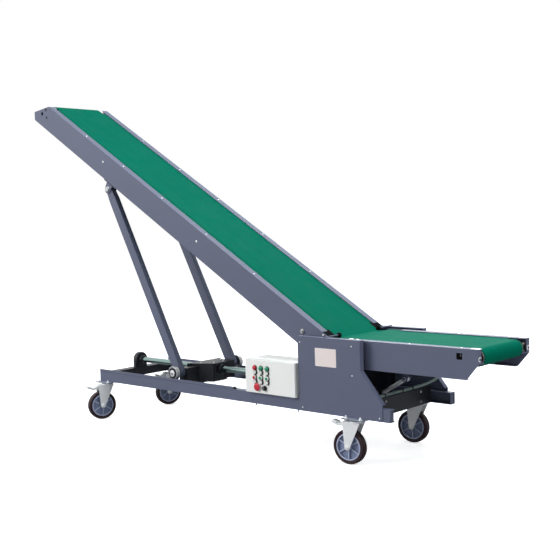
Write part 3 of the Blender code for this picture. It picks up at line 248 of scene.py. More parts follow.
def coated(name, screen, rough=0.42, grain=0.12, dust=0.3, dusty=(0.42, 0.41, 0.4), scuff=0.35, spread=0.16,
           bare=(0.3, 0.31, 0.33), coat=0, shine=0.4):
    # Paint or powder coat: tone patches, dust, scuffs, worn edges and an orange-peel skin
    material, tree, shader, place, paint, mottle, rim = surface(name, screen, spread, 420, grain)
    dirt = useGroup(tree, "settledDust", place, ("Amount", dust))["Mask"]
    rubbed = useGroup(tree, "longScuffs", place, ("Cover", scuff))["Mask"]
    worn = blendColour(tree, times(tree, rubbed, 0.22), paint, bare)
    rims = blendColour(tree, times(tree, rim, 0.3), worn, bare)
    uneven = line(tree, mottle, 0.16, rough - 0.08)
    feed(tree, shader, (("Base Color", blendColour(tree, dirt, rims, dusty)),
                        ("Roughness", line(tree, dirt, 0.35, uneven, clamp=True)),
                        ("Specular IOR Level", shine), ("Coat Weight", coat), ("Coat Roughness", 0.25)))
    return material


def metal(name, screen, rough=0.28, brushed=(6, 90, 90), grain=0.06, dull=0.25, stain=(0.28, 0.27, 0.25),
          bare=1):
    # Bare or plated steel: brushing, dull stains and softened edges
    material, tree, shader, place, toned, mottle, rim = surface(name, screen, 0.25, 700, grain, 0.0008)
    lines = add(tree, "Mapping", (("Vector", place), ("Scale", brushed))).outputs[0]
    spots = ramp(tree, noise(tree, place, 30, 6, 0.7), 0.5, 0.72)
    stained = times(tree, spots, dull)
    base = line(tree, noise(tree, lines, 8, 3), 0.16, rough - 0.08)
    feed(tree, shader, (("Base Color", blendColour(tree, stained, toned, stain)), ("Metallic", bare),
                        ("Roughness", line(tree, stained, 0.5, base, clamp=True))))
    return material


def moulded(name, screen, rough=0.45, grain=0.15, size=520, dust=0.25, spread=0.18, shine=0.4):
    # Plastic or rubber: faint flow marks, dust in the texture and softened edges
    material, tree, shader, place, body, mottle, rim = surface(name, screen, spread, size, grain)
    dirt = useGroup(tree, "settledDust", place, ("Amount", dust))["Mask"]
    lifted = blendColour(tree, times(tree, rim, 0.15), body, (0.5, 0.5, 0.5))
    uneven = line(tree, mottle, 0.14, rough - 0.07)
    feed(tree, shader, (("Base Color", blendColour(tree, dirt, lifted, (0.4, 0.39, 0.37))),
                        ("Roughness", line(tree, dirt, 0.3, uneven, clamp=True)),
                        ("Specular IOR Level", shine)))
    return material


belting = {"colour": srgb(0, 109, 86), "shade": srgb(0, 98, 77), "weave": 900, "edge": 0.198}


def beltPvc():
    # PVC belt: fine cloth print, faint tracks along its travel, paler dust and darker rubbed edges
    material, tree, shader, place = newMaterial("beltPvc", belting["colour"])
    acrossBelt = add(tree, "SeparateXYZ", ((0, place),)).outputs["Y"]
    offCentre = sums(tree, "ABSOLUTE", sums(tree, "SUBTRACT", acrossBelt, across))
    tint = useGroup(tree, "tintPatches", place, ("Spread", 0.14))
    stretched = add(tree, "Mapping", (("Vector", place), ("Scale", (1.2, 46, 1.2)))).outputs[0]
    tracks = noise(tree, stretched, 1, 5)
    weave = [add(tree, "TexWave", (("Vector", place), ("Scale", belting["weave"] / pitch)), bands_direction=way)
             for way, pitch in (("Y", 6.283), ("X", 9))]
    cloth = times(tree, *(wave.outputs["Fac"] for wave in weave))
    border = ramp(tree, offCentre, belting["edge"] - 0.02, belting["edge"] - 0.001)
    base = blendColour(tree, ramp(tree, tracks, 0.36, 0.66, 0, 0.35), belting["colour"], belting["shade"])
    deep = tuple(c * 0.72 for c in belting["colour"])
    base = blendColour(tree, times(tree, cloth, 0.14), base, deep)
    base = blendColour(tree, times(tree, border, 0.35), base, belting["shade"])
    dirt = useGroup(tree, "settledDust", place, ("Amount", 0.015))["Mask"]
    toned = scaled(tree, base, tint["Factor"])
    bump = add(tree, "Bump", (("Height", line(tree, tracks, 0.5, cloth)), ("Strength", 0.35),
                              ("Distance", 0.0003)))
    feed(tree, shader, (("Base Color", blendColour(tree, dirt, toned, (0.35, 0.42, 0.38))),
                        ("Roughness", line(tree, tint["Mottle"], 0.16, 0.5)),
                        ("Normal", bump.outputs[0]), ("IOR", 1.05)))
    return material


slate = coated("slatePaint", (96, 101, 123), rough=0.46, dust=0.12, scuff=0.25, dusty=(0.26, 0.27, 0.32),
               bare=(0.22, 0.23, 0.26))
ink = coated("blackPaint", (30, 31, 39), dust=0.14, dusty=(0.14, 0.14, 0.15), bare=(0.15, 0.15, 0.15),
             shine=0.45)
cabinet = coated("boxEnamel", (250, 251, 247), rough=0.38, grain=0.1, dust=0.05, scuff=0.25, spread=0.06,
                 bare=(0.55, 0.55, 0.52), dusty=(0.55, 0.54, 0.5), coat=0.15)
chrome = metal("hardChrome", (134, 156, 151), rough=0.16, dull=0.12, brushed=(90, 5, 5), grain=0.02)
bright = metal("brightSteel", (196, 198, 198), rough=0.27)
plated = metal("zincPlate", (250, 251, 250), rough=0.38, dull=0.08, stain=(0.42, 0.42, 0.41), grain=0.1,
               bare=0.25)
dullZinc = metal("dullZinc", (150, 158, 172), rough=0.46, dull=0.3, bare=0.6)
sooty = metal("darkSteel", (86, 88, 92), rough=0.42, dull=0.4, stain=(0.1, 0.09, 0.08))
coreGrey = moulded("coreNylon", (134, 146, 176), rough=0.42)
maroon = moulded("treadRubber", (46, 27, 32), rough=0.48, size=300, dust=0.14, shine=0.25)
blackPlastic = moulded("blackPlastic", (26, 27, 30), rough=0.45, dust=0.08, shine=0.2)
satin = metal("satinAluminium", (246, 248, 248), rough=0.32, grain=0.04, dull=0.05, bare=0.15)
greyPlastic = moulded("greyPlastic", (150, 152, 150), rough=0.5)
# Near-black without sheen: painted shade, for the knee's dark patch, dark gap lines, the backs of square holes
# and the press rollers' caps
shadeBlack = moulded("paintedShadeBlack", (9, 9, 11), rough=0.8, dust=0, shine=0.05)
# Pale core plastic for the wheels' spokes, also used as a painted highlight on the rings at the cores' rims
paleSpokeAndRimHighlight = moulded("paleSpokeAndRimHighlight", (186, 194, 220), rough=0.42, dust=0.1)
whiteNylon = moulded("whiteNylon", (232, 232, 226), rough=0.38, dust=0.15)
redCap = moulded("redCap", (204, 44, 60), rough=0.28, dust=0.05, grain=0.03)
greenCap = moulded("greenCap", (34, 148, 108), rough=0.28, dust=0.05, grain=0.03)
paleLabel = moulded("paleLabel", (244, 232, 228), rough=0.55, grain=0.04, dust=0.1, spread=0.05)
greyHose = moulded("greyHose", (184, 202, 194), rough=0.45, dust=0.1)
belt = beltPvc()

slotLooks = {"slate_paint": slate, "black_paint": ink, "belt_pvc": belt, "chrome": chrome, "steel": bright,
             "zinc": plated, "enamel": cabinet, "core_plastic": coreGrey, "tread": maroon}
for part in frame["record"]["subparts"]:
    node = frame["nodes"][part["node"]]
    for place in node.material_slots:
        place.material = slotLooks[part["material_slot"]]
for name in ("tilt_cylinder", "tilt_rod"):
    frame["nodes"][name].material_slots[0].material = satin
for name, swivel, hub, axle in corners:
    frame["nodes"][f"caster_plate_{name}"].material_slots[0].material = dullZinc
print("materials done")


# Shapes as arrays: a stack of loops is skinned into one closed form
def loft(loops, ring=False):
    # Quads between neighbouring loops. Without ring, the first and last loops are closed by a face each
    stack = np.asarray(loops, float)
    rows, count = stack.shape[:2]
    i, j = np.meshgrid(np.arange(rows if ring else rows - 1), np.arange(count), indexing="ij")
    up, over = (i + 1) % rows, (j + 1) % count
    corner = [i * count + j, i * count + over, up * count + over, up * count + j]
    faces = np.stack(corner, -1).reshape(-1, 4).tolist()
    if not ring:
        faces += [list(range(count))[::-1], list(range((rows - 1) * count, rows * count))]
    return stack.reshape(-1, 3), faces


def lathe(profile, count=24, ring=False):
    # Turns (radius, height) pairs in millimetres about Z: x = r cos a, y = r sin a
    radius, height = np.array(profile, float).T / 1000
    angle = np.arange(count) * 2 * np.pi / count
    loops = np.stack([np.outer(radius, np.cos(angle)), np.outer(radius, np.sin(angle)),
                      np.repeat(height[:, None], count, 1)], -1)
    return loft(loops, ring)


def roundRect(width, depth, radius, steps=4):
    # A rounded rectangle's points: x = +-(width / 2 - radius) + radius cos a, y likewise with depth and sin a
    turn = np.linspace(0, np.pi / 2, steps + 1)
    arcs = []
    for k, (sx, sy) in enumerate(((1, 1), (-1, 1), (-1, -1), (1, -1))):
        a = turn + k * np.pi / 2
        arcs.append(np.stack([sx * (width / 2 - radius) + radius * np.cos(a),
                              sy * (depth / 2 - radius) + radius * np.sin(a)], -1))
    return np.concatenate(arcs)


def plate(width, depth, thick, radius=0.004, bevel=0.0006, steps=4):
    # A flat plate with round corners and broken edges, lying on z = 0
    levels = ((bevel, 0), (0, bevel), (0, thick - bevel), (bevel, thick))
    loops = []
    for inset, z in levels:
        flat = roundRect(width - 2 * inset, depth - 2 * inset, max(radius - inset, 1e-4), steps)
        loops.append(np.column_stack([flat, np.full(len(flat), z)]))
    return loft(loops)


def alongPath(path, radius, count=12):
    # A round tube along points. radius is one number or one for each point
    path = np.asarray(path, float)
    ahead = np.gradient(path, axis=0)
    ahead /= np.linalg.norm(ahead, axis=1)[:, None]
    side = np.cross(ahead[0], (0, 0, 1) if abs(ahead[0][2]) < 0.9 else (1, 0, 0))
    radii = np.broadcast_to(radius, len(path))
    angle = np.arange(count) * 2 * np.pi / count
    loops = []
    for here, way, r in zip(path, ahead, radii):
        side = side - way * side.dot(way)
        side /= np.linalg.norm(side)
        other = np.cross(way, side)
        loops.append(here + r * (np.outer(np.cos(angle), side) + np.outer(np.sin(angle), other)))
    return loft(loops)


def curvePoints(points, steps):
    # Points along a Catmull-Rom curve through the given ones
    p = np.asarray(points, float)
    p = np.vstack([2 * p[0] - p[1], p, 2 * p[-1] - p[-2]])
    t = np.linspace(0, 1, steps, endpoint=False)[:, None]
    spans = [(2 * b + (c - a) * t + (2 * a - 5 * b + 4 * c - d) * t**2 + (3 * b - a - 3 * c + d) * t**3) / 2
             for a, b, c, d in zip(p[:-3], p[1:-2], p[2:-1], p[3:])]
    return np.vstack([*spans, p[-2]])


def facing(place, out, spin=0, size=1):
    # A matrix that puts a shape's z = 0 at a point and its Z along a direction
    turn = Vector((0, 0, 1)).rotation_difference(Vector(out)).to_matrix().to_4x4()
    return Matrix.Translation(place) @ turn @ Matrix.Rotation(spin, 4, "Z") @ Matrix.Scale(size, 4)


class Bundle:
    # Collects shapes and makes one object of them

    def __init__(self):
        self.points, self.faces, self.slots, self.looks, self.count = [], [], [], [], 0

    def put(self, shape, look, matrix=None):
        points, faces = shape
        if matrix is not None:
            m = np.array(matrix)
            points = points @ m[:3, :3].T + m[:3, 3]
        if look not in self.looks:
            self.looks.append(look)
        self.points.append(points)
        self.faces += [[index + self.count for index in face] for face in faces]
        self.slots += [self.looks.index(look)] * len(faces)
        self.count += len(points)

    def turned(self, profile, count, look, *spot, ring=False):
        # Puts a turned shape at a point and along a direction, as facing does
        self.put(lathe(profile, count, ring), look, facing(*spot))

    def make(self, name, body, slot, angle=35, blend=None):
        mesh = bpy.data.meshes.new(name)
        mesh.from_pydata(np.concatenate(self.points), [], self.faces)
        for look in self.looks:
            mesh.materials.append(look)
        mesh.polygons.foreach_set("material_index", self.slots)
        work = bmesh.new()
        work.from_mesh(mesh)
        bmesh.ops.recalc_face_normals(work, faces=work.faces)
        work.to_mesh(mesh)
        work.free()
        mesh.polygons.foreach_set("use_smooth", [True] * len(mesh.polygons))
        mesh.set_sharp_from_angle(angle=radians(angle))
        made = newObject(name, mesh)
        if blend:
            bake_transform(made)
        else:
            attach(made, body)
        return made


# Fasteners: an M8's radii and heights in millimetres, scaled for others
bolt = {"head": 7.5, "rise": 5.3, "washer": 10, "washerRise": 1.5, "button": 6.8, "thread": 4}


def hexBolt(bundle, place, out, size=1, spin=0.3, washer=True, look=None, stub=0):
    # A chamfered hex head on its washer, and with stub a nut with the thread's end
    spot, look = facing(place, out, spin, size), look or plated
    lift = bolt["washerRise"] if washer else 0
    if washer:
        r = bolt["washer"]
        bundle.put(lathe(((r * 0.97, 0), (r, 0.4), (r, lift - 0.4), (r * 0.95, lift)), 20), look, spot)
    r, top = bolt["head"], lift + bolt["rise"]
    bundle.put(lathe(((r * 0.96, lift), (r, lift + 0.6), (r, top - 1.2), (r * 0.84, top)), 6), look, spot)
    if stub:
        r, tip = bolt["thread"], top + stub
        bundle.put(lathe(((r, top - 1), (r, tip), (r * 0.8, tip + 0.8)), 12), look, spot)


def buttonScrew(bundle, place, out, size=1):
    # A domed screw head with a socket in it
    r = bolt["button"]
    profile = ((r, 0), (r, 0.8), (r * 0.93, 2), (r * 0.76, 3.1), (r * 0.5, 3.6), (r * 0.4, 3.6),
               (r * 0.36, 3.4), (r * 0.34, 1.4))
    bundle.turned(profile, 18, plated, place, out, 0.2, size)


def at(x, y, z):
    # A point counted from 30 mm inside the rails' left end and from their centre plane, in the row frame
    return Vector((x - middle, y + across, z))


def aroundCentre(centre, first, radius, count):
    # Points on a circle, half a step from its first direction: centre + radius (first cos a + Z sin a)
    for k in range(count):
        a = (k + 0.5) * 2 * pi / count
        yield Vector(centre) + radius * (Vector(first) * cos(a) + Vector((0, 0, sin(a))))


# Chassis fittings
cheekScrews = ((1.856, 0.665), (2.226, 0.664), (2.228, 0.501), (1.865, 0.286), (2.407, 0.284))
cheekFace = 0.3309
cheekCaps = ((2.204, 0.3, 15, whiteNylon), (2.251, 0.3035, 8, plated))  # x, y, radius in millimetres, look
lipBolts = {"x": (1.475, 1.812), "y": -0.306, "z": 0.265, "stub": 12}
# x, distance from the middle, z, the way out and the size of the beams' bolts
beamBolts = ((2.34, 0.175, 0.345, (1, 0, 0), 0.7), (2.34, 0.175, 0.29, (1, 0, 0), 0.7),
             (-0.026, 0.15, 0.293, (-1, 0, 0), 1.1), (-0.026, 0.235, 0.293, (-1, 0, 0), 1.1),
             (1.715, 0.232, 0.305, (0, 0, 1), 0.8), (1.745, 0.232, 0.305, (0, 0, 1), 0.8))
casterBolt = {"x": 0.05, "y": 0.036, "under": 0.2587, "over": 0.2647}


def chassisFasteners():
    bolts = Bundle()
    for side in (-1, 1):
        for x, z in cheekScrews:
            buttonScrew(bolts, at(x, side * cheekFace, z), (0, side, 0), 0.62)
        for x, y, z, way, size in beamBolts:
            hexBolt(bolts, at(x, side * y, z), way, size)
    for x in lipBolts["x"]:
        hexBolt(bolts, at(x, lipBolts["y"], lipBolts["z"]), (0, 0, -1), 0.85, look=sooty, stub=lipBolts["stub"])
    for x, y, r, look in cheekCaps:
        cap = ((r, 0), (r, 1), (r * 0.93, 2.6), (r * 0.72, 4), (r * 0.35, 4.8), (r * 0.1, 4.9))
        bolts.turned(cap, 28, look, at(x, -y, 0.7), (0, 0, 1))
    for name, swivel, hub, axle in corners:
        outward = 1 if swivel.y > across else -1
        for dx in (-1, 1):
            x = swivel.x + dx * casterBolt["x"]
            for dy in (-1, 1):
                place = (x, swivel.y + dy * casterBolt["y"], casterBolt["under"])
                hexBolt(bolts, place, (0, 0, -1), 0.95, spin=0.4 * dx + dy, stub=2)
            place = (x, swivel.y + outward * casterBolt["y"], casterBolt["over"])
            hexBolt(bolts, place, (0, 0, 1), 1.05, spin=0.5, stub=7)
    bolts.make("chassis_fasteners", "chassis", "zinc")


chassisFasteners()


def bar(x0, x1, y0, y1, z0, z1, bevel=0.0004):
    # A straight piece with broken edges between two corners
    shape, faces = plate(abs(x1 - x0), abs(y1 - y0), abs(z1 - z0), 0.0008, bevel, 1)
    return shape + ((x0 + x1) / 2, (y0 + y1) / 2, min(z0, z1)), faces


row = Matrix.Translation(at(0, 0, 0))
rail = {"outer": 0.3276, "inner": 0.2826, "left": -0.03, "lipEnd": 1.301}


def railEnds():
    # Closing plates in the rails' open ends, a black strip along each rail under the lip that paints the shade
    # in the gap between lip and rail, and a stop at the lip's end
    ends = Bundle()
    for name, side in sides:
        low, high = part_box(f"rail_{name}")
        y = across + side * (rail["outer"] + rail["inner"]) / 2
        for x, out in ((low.x + 0.004, 1), (high.x - 0.004, -1)):
            ends.put(plate(0.0365, 0.0615, 0.003, 0.003), slate, facing((x, y, 0.3), (out, 0, 0), pi / 2))
        face, inside = side * rail["outer"], side * (rail["outer"] - 0.014)
        lip = rail["lipEnd"]
        # A thin black strip at the lip's lower edge: painted shade for the gap line between lip and rail
        seam = bar(rail["left"], lip, face - side * 0.002, face + side * 0.0004, 0.3325, 0.3342, 0.0002)
        for shape in (seam, bar(lip + 0.0005, lip + 0.017, inside, face, 0.3352, 0.35)):
            ends.put(shape, blackPlastic, row)
    ends.make("rail_end_plates", "chassis", "slate_paint")


railEnds()
motorGuard = {"x": 2.04, "half": 0.3215, "low": 0.3104, "high": 0.492, "sheet": 0.0025, "foot": 0.016}


def guardPlate():
    # A sheet between the cheeks that screens the lift motor's end, with a foot on the tilt beam
    made = Bundle()
    x, half, low, high, sheet, foot = motorGuard.values()
    made.put(bar(x, x + sheet, -half, half, low, high, 0.0005), ink, row)
    made.put(bar(x, x + foot, -half, half, low, low + sheet, 0.0005), ink, row)
    for side in (-1, 1):
        tab = sorted((side * half, side * (half - sheet)))
        made.put(bar(x, x + 0.02, *tab, low, high, 0.0005), ink, row)
    made.make("motor_guard_plate", "chassis", "black_paint")


guardPlate()


screwEnd = {"axis": 0.383, "face": 0.0453, "back": 0.0148, "collars": (0.056, 1.612), "boltCircle": 0.038}


def screwBearing():
    # Flange ring, clamp collars and bolts on the screw's end bearing
    ring = Bundle()
    face, level = screwEnd["face"], screwEnd["axis"]
    profile = ((52, 0), (52, 3), (50, 5), (44, 5), (42, 3), (34, 3), (32, 6), (26, 8), (21.2, 8), (21.2, 0))
    ring.turned(profile, 48, ink, at(face, 0, level), (1, 0, 0), ring=True)
    for place in aroundCentre(at(face + 0.003, 0, level), (0, 1, 0), screwEnd["boltCircle"], 4):
        hexBolt(ring, place, (1, 0, 0), 0.62, look=ink)
    cover = ((46, 0), (46, 4), (42, 7), (20, 9), (18, 12), (6, 13))
    ring.turned(cover, 40, ink, at(screwEnd["back"], 0, level), (-1, 0, 0))
    collar = ((28, 0), (29.5, 1.5), (29.5, 12.5), (28, 14), (20.6, 14), (20.6, 0))
    for x in screwEnd["collars"]:
        ring.turned(collar, 32, sooty, at(x, 0, level), (1, 0, 0), ring=True)
    ring.make("screw_bearing_flange", "chassis", "black_paint")


screwBearing()

gearMotor = {"fins": 22, "finRise": 0.0048, "finThick": 0.0028, "start": 1.786, "end": 1.965, "radius": 0.0658,
             "axis": 0.383, "cowlFace": 2.0345, "flange": 1.766,
             "boxLeft": 1.87, "boxRight": 2, "boxHalf": 0.055, "boxTop": 0.495,
             "gear": 1.7, "gearHalf": 0.065, "boltCircle": 0.042, "plug": (1.668, 0.03, 0.458), "seal": 1.64}


def motorDetail():
    # Cooling fins, fan cowl, terminal box lid, gearbox cover with its bolts, and a plug
    parts = Bundle()
    level = gearMotor["axis"]
    base = gearMotor["radius"] - 0.002
    shadow = degrees(asin(gearMotor["boxHalf"] / gearMotor["radius"])) + 6
    for k in range(gearMotor["fins"]):
        a = 2 * pi * k / gearMotor["fins"]
        end = gearMotor["boxLeft"] - 0.002 if abs(degrees(a) - 90) < shadow else gearMotor["end"]
        length = end - gearMotor["start"]
        out = Vector((0, cos(a), sin(a)))
        spot = facing(at(gearMotor["start"] + length / 2, 0, level) + out * base, out)
        fin = plate(length, gearMotor["finThick"], gearMotor["finRise"] + 0.002, 0.0008, 0.0005, 1)
        heading = spot.to_3x3() @ Vector((1, 0, 0))
        turn = Matrix.Rotation(-atan2(heading.dot(Vector((1, 0, 0)).cross(out)), heading.x), 4, "Z")
        parts.put(fin, ink, spot @ turn)
    flange = ((65.5, 0), (70, 2), (70, 18), (65.5, 20))
    parts.turned(flange, 40, ink, at(gearMotor["flange"], 0, level), (1, 0, 0))
    cowl = ((66.2, 0), (69, 3), (69, 54), (64, 62), (30, 66), (10, 66))
    parts.turned(cowl, 40, ink, at(gearMotor["end"] + 0.004, 0, level), (1, 0, 0))
    for r in (24, 36, 48):
        slot = ((r, 0), (r + 4, 0), (r + 4, 1.4), (r, 1.4))
        parts.turned(slot, 40, blackPlastic, at(gearMotor["cowlFace"], 0, level), (1, 0, 0), ring=True)
    boxX, boxTop = (gearMotor["boxLeft"] + gearMotor["boxRight"]) / 2, gearMotor["boxTop"]
    lid = plate(0.134, 0.114, 0.004, 0.007, 0.001)
    parts.put(lid, ink, facing(at(boxX, 0, boxTop), (0, 0, 1)))
    for dx in (-0.057, 0.057):
        for dy in (-0.047, 0.047):
            buttonScrew(parts, at(boxX + dx, dy, boxTop + 0.004), (0, 0, 1), 0.6)
    gland = ((10.5, 0), (10.5, 6), (8.8, 7), (8.8, 16), (7, 19), (5, 19))
    parts.turned(gland, 18, blackPlastic, at(boxX, gearMotor["boxHalf"], 0.468), (0, 1, 0))
    gear, half, circle = gearMotor["gear"], gearMotor["gearHalf"], gearMotor["boltCircle"]
    for side in (-1, 1):
        disc = ((50, 0), (50, 3), (46, 5), (22, 5), (19, 2), (12, 2))
        parts.turned(disc, 40, ink, at(gear, side * half, level), (0, side, 0))
        for place in aroundCentre(at(gear, side * (half + 0.004), level), (1, 0, 0), circle, 6):
            hexBolt(parts, place, (0, side, 0), 0.6, washer=False)
    hexBolt(parts, at(*gearMotor["plug"]), (0, 0, 1))
    seal = ((32, 0), (32, 3), (26, 6), (20.7, 6), (20.7, 0))
    parts.turned(seal, 32, ink, at(gearMotor["seal"], 0, level), (-1, 0, 0), ring=True)
    parts.make("lift_motor_detail", "chassis", "black_paint")


motorDetail()
print("chassis fittings done")

# Knee: press roller caps and edge skirts, the belt over the two gaps, and the belt round the roller below
press = {"x": 2.0349, "z": 0.7013, "outer": 0.198}
boomTop, boomBelt, infeedBelt = 0.0945, 0.0905, 0.087


def pressRollers():
    caps = Bundle()
    for side in (-1, 1):
        shell = ((12, -12.6), (14.6, -12), (14.6, -0.4), (13, 1.6), (8, 2), (5.2, 1.2))
        spot = facing(at(press["x"], side * press["outer"], press["z"]), (0, side, 0))
        # The caps' shells are near-black painted shade, part of the dark patch at the knee
        caps.put(lathe(shell, 32), shadeBlack, spot)
        caps.put(lathe(((6, 1), (6, 5), (5, 6), (4, 6)), 6), ink, spot)
    caps.make("press_roller_caps", "chassis", "steel")


pressRollers()


def edgeSkirts():
    # Strips that close the slot between the belt's edges and the panels, along both frames
    for body, turn, start, end, level in (
        ("boom", onBoom, -3, -0.036, boomBelt - 0.0042),
        ("infeed", onKnee, 0.062, 0.88, infeedBelt - 0.0042),
    ):
        strips = Bundle()
        for side in (-1, 1):
            strips.put(bar(start, end, side * 0.1988, side * 0.2685, level, level + 0.0036), belt, turn)
        strips.make(f"{body}_edge_skirts", body, "belt_pvc")
    # Near-black strips at the boom flanges' knee ends: painted shade for the dark gap beside the belt there
    ends, level = Bundle(), boomBelt - 0.0004
    for side in (-1, 1):
        ends.put(bar(-0.098, -0.038, side * 0.1992, side * 0.2685, level, level + 0.003), shadeBlack, onBoom)
    ends.make("boom_flange_end_painted_shade", "boom", "black_paint")


edgeSkirts()
beltStrip = {"half": 0.1979, "thick": 0.0033, "inner": 0.026, "outer": 0.0289, "mean": 0.0275}


def kneeStrips():
    # Short belt strips over the gaps beside the fixed bend, on the boom's side and on the infeed's side
    half, thick = beltStrip["half"], beltStrip["thick"]
    for body, turn, start, end, level in (
        ("boom", onBoom, -0.0425, -0.021, boomBelt - 0.0015),
        ("infeed", onKnee, 0.039, 0.0625, infeedBelt - 0.0015),
    ):
        loops = []
        for x in np.linspace(start, end, 10):
            thin = thick / 2 if start < x < end else 0.0014
            low, high = level - thin, level + thin
            loops.append([(x, -half, low), (x, half, low), (x, half, high), (x, -half, high)])
        strip = Bundle()
        strip.put(loft(loops), belt, turn)
        near, away = (turn @ Vector((x, 0, level)) for x in ((end, start) if body == "boom" else (start, end)))
        strip.make(f"{body}_belt_join", "chassis", "belt_pvc", blend=(body, near, away))
    inner, outer, mean = beltStrip["inner"], beltStrip["outer"], beltStrip["mean"]
    bend = 270 - degrees(boomAngle) / 2
    for body, stop in (("boom", 270 - degrees(boomAngle) - 15), ("infeed", 285)):
        loops = []
        for a in np.radians(np.linspace(bend, stop, 9)):
            ring = ((inner, -half), (outer, -half), (outer, half), (inner, half))
            loops.append([(r * cos(a), y, r * sin(a)) for r, y in ring])
        near, away = (onKnee @ Vector((mean * cos(a), 0, mean * sin(a)))
                      for a in (radians(bend), radians(stop)))
        wrap = Bundle()
        wrap.put(loft(loops), belt, onKnee)
        wrap.make(f"{body}_belt_under", "chassis", "belt_pvc", blend=(body, near, away))


kneeStrips()
print("knee done")


# Boom and infeed fittings. Faces of their side panels, counted from the belt's middle, and the rollers' level
panel = {"outer": 0.2724, "inner": 0.2692, "behind": 0.2691, "flange": 0.25, "rollers": -0.0474}


def boomPoint(x, side, z):
    # A point on the boom panel's outer face, from its place and height on the machine
    return at(x, side * panel["outer"], z)


def flangePoint(x, side):
    # A point on the middle of the boom's top flange at a place along the machine
    reach = (x - middle - knee.x - boomTop * sin(boomAngle)) / cos(boomAngle)
    return onBoom @ Vector((reach, side * panel["flange"], boomTop))


boomUp = onBoom.to_3x3() @ Vector((0, 0, 1))


# x and z of the panel's screws, disc and last screw, x of the flange's screws, then places along the boom
boomBolts = {"panel": ((0.048, 1.811), (0.964, 1.248)), "disc": (1.829, 0.72), "seam": (1.982, 0.706),
             "flange": (-0.152, 0.242, 0.627, 1.035, 1.44), "ties": (-2.53, -0.81), "lug": -2.1667}
# Distance from the knee, rise and width of the square holes at the head
headHoles = ((3.104, 0.0127, 0.024), (3.073, 0.059, 0.018), (3.039, 0.013, 0.017))


def boomFasteners():
    parts = Bundle()
    for side in (-1, 1):
        out = (0, side, 0)
        for x, z in boomBolts["panel"]:
            buttonScrew(parts, boomPoint(x, side, z), out, 1.1)
        ring = ((16.5, 0), (17, 0.5), (17, 1.6), (15.5, 2.2), (6, 2.2))
        x, z = boomBolts["disc"]
        parts.turned(ring, 30, sooty, boomPoint(x, side, z), out)
        hexBolt(parts, boomPoint(x, side, z) + Vector((0, side * 0.002, 0)), out, 1.45, look=bright)
        x, z = boomBolts["seam"]
        buttonScrew(parts, boomPoint(x, side, z), out, 0.75)
        for x in boomBolts["flange"]:
            buttonScrew(parts, flangePoint(x + (0.027 if side > 0 else 0), side), boomUp, 0.85)
        for reach in boomBolts["ties"]:
            for dx in (-0.016, 0.016):
                hexBolt(parts, onBoom @ Vector((reach + dx, side * 0.257, -0.0675)), -boomUp, 0.8)
        lug = boomBolts["lug"]
        head = ((19, 0), (19, 1.6), (17.5, 2.2), (17, 8.5), (15.5, 10), (4, 10.2))
        parts.turned(head, 36, bright, onBoom @ Vector((lug, side * panel["outer"], -0.1139)), out)
        for dx in (-0.05, 0.05):
            hexBolt(parts, onBoom @ Vector((lug + dx, side * 0.232, -0.0738)), -boomUp, 0.95)
        # A near-black strip between the lug plate and the panel's bottom: painted shade for the gap line
        lugGapShade = bar(lug - 0.065, lug + 0.065, side * 0.27, side * 0.2729, -0.0712, -0.0676, 0.0003)
        parts.put(lugGapShade, shadeBlack, onBoom)
        for reach, rise, size in headHoles:
            # Near-black plates behind the square holes: painted shade seen through them
            behind = onBoom @ Vector((-reach, side * panel["behind"], rise))
            parts.put(plate(size + 0.006, size + 0.006, 0.0015, 0.002), shadeBlack,
                      facing(behind, (0, -side, 0), side * boomAngle))
    parts.make("boom_fasteners", "boom", "zinc")


boomFasteners()


def bearingHousing(bundle, x, z, side, radius, turn):
    # A flange bearing on a panel's inner face, with its bolts
    out = (0, -side, 0)
    r = 1000 * radius
    profile = ((r, 0), (r, 6), (r * 0.93, 8), (r * 0.66, 10), (r * 0.62, 20), (r * 0.57, 22), (r * 0.36, 22),
               (r * 0.36, 0))
    bundle.turned(profile, 32, ink, turn @ Vector((x, side * panel["inner"], z)), out, ring=True)
    for place in aroundCentre((x, side * (panel["inner"] - 0.008), z), (1, 0, 0), radius * 0.8, 4):
        hexBolt(bundle, turn @ place, out, 0.6)


def endBearings():
    # Bearings of the head and tail drums, and collars where the small rollers meet the panels
    collar = ((15, 0), (15, 3), (12, 5), (10.5, 10), (7.4, 10), (7.4, 0))
    for body, turn, x, z, radius, rollers in (
        ("boom", onBoom, -3.056, 0.0425, 0.036, (-2.856, -2.05, -1.05)),
        ("infeed", onKnee, 0.924, 0.039, 0.033, (0.724,)),
    ):
        parts = Bundle()
        for side in (-1, 1):
            bearingHousing(parts, x, z, side, radius, turn)
            for reach in rollers:
                place = turn @ Vector((reach, side * panel["inner"], panel["rollers"]))
                parts.turned(collar, 20, blackPlastic, place, (0, -side, 0), ring=True)
        parts.make(f"{body}_bearings", body, "black_paint")


endBearings()


# x and z of the adjuster's washer, the bed's bolts, the bright plate on the flange's end that is a painted
# highlight of the panel end's lit corner, the lip under it and the square hole
infeedEnd = {"screws": (2.552, 2.867), "washer": (2.972, 0.639), "bed": (2.4, 2.43), "bedLevel": 0.531,
             "cover": (2.952, 0.6909), "lip": (2.961, 0.6118), "hole": (2.866, 0.65)}


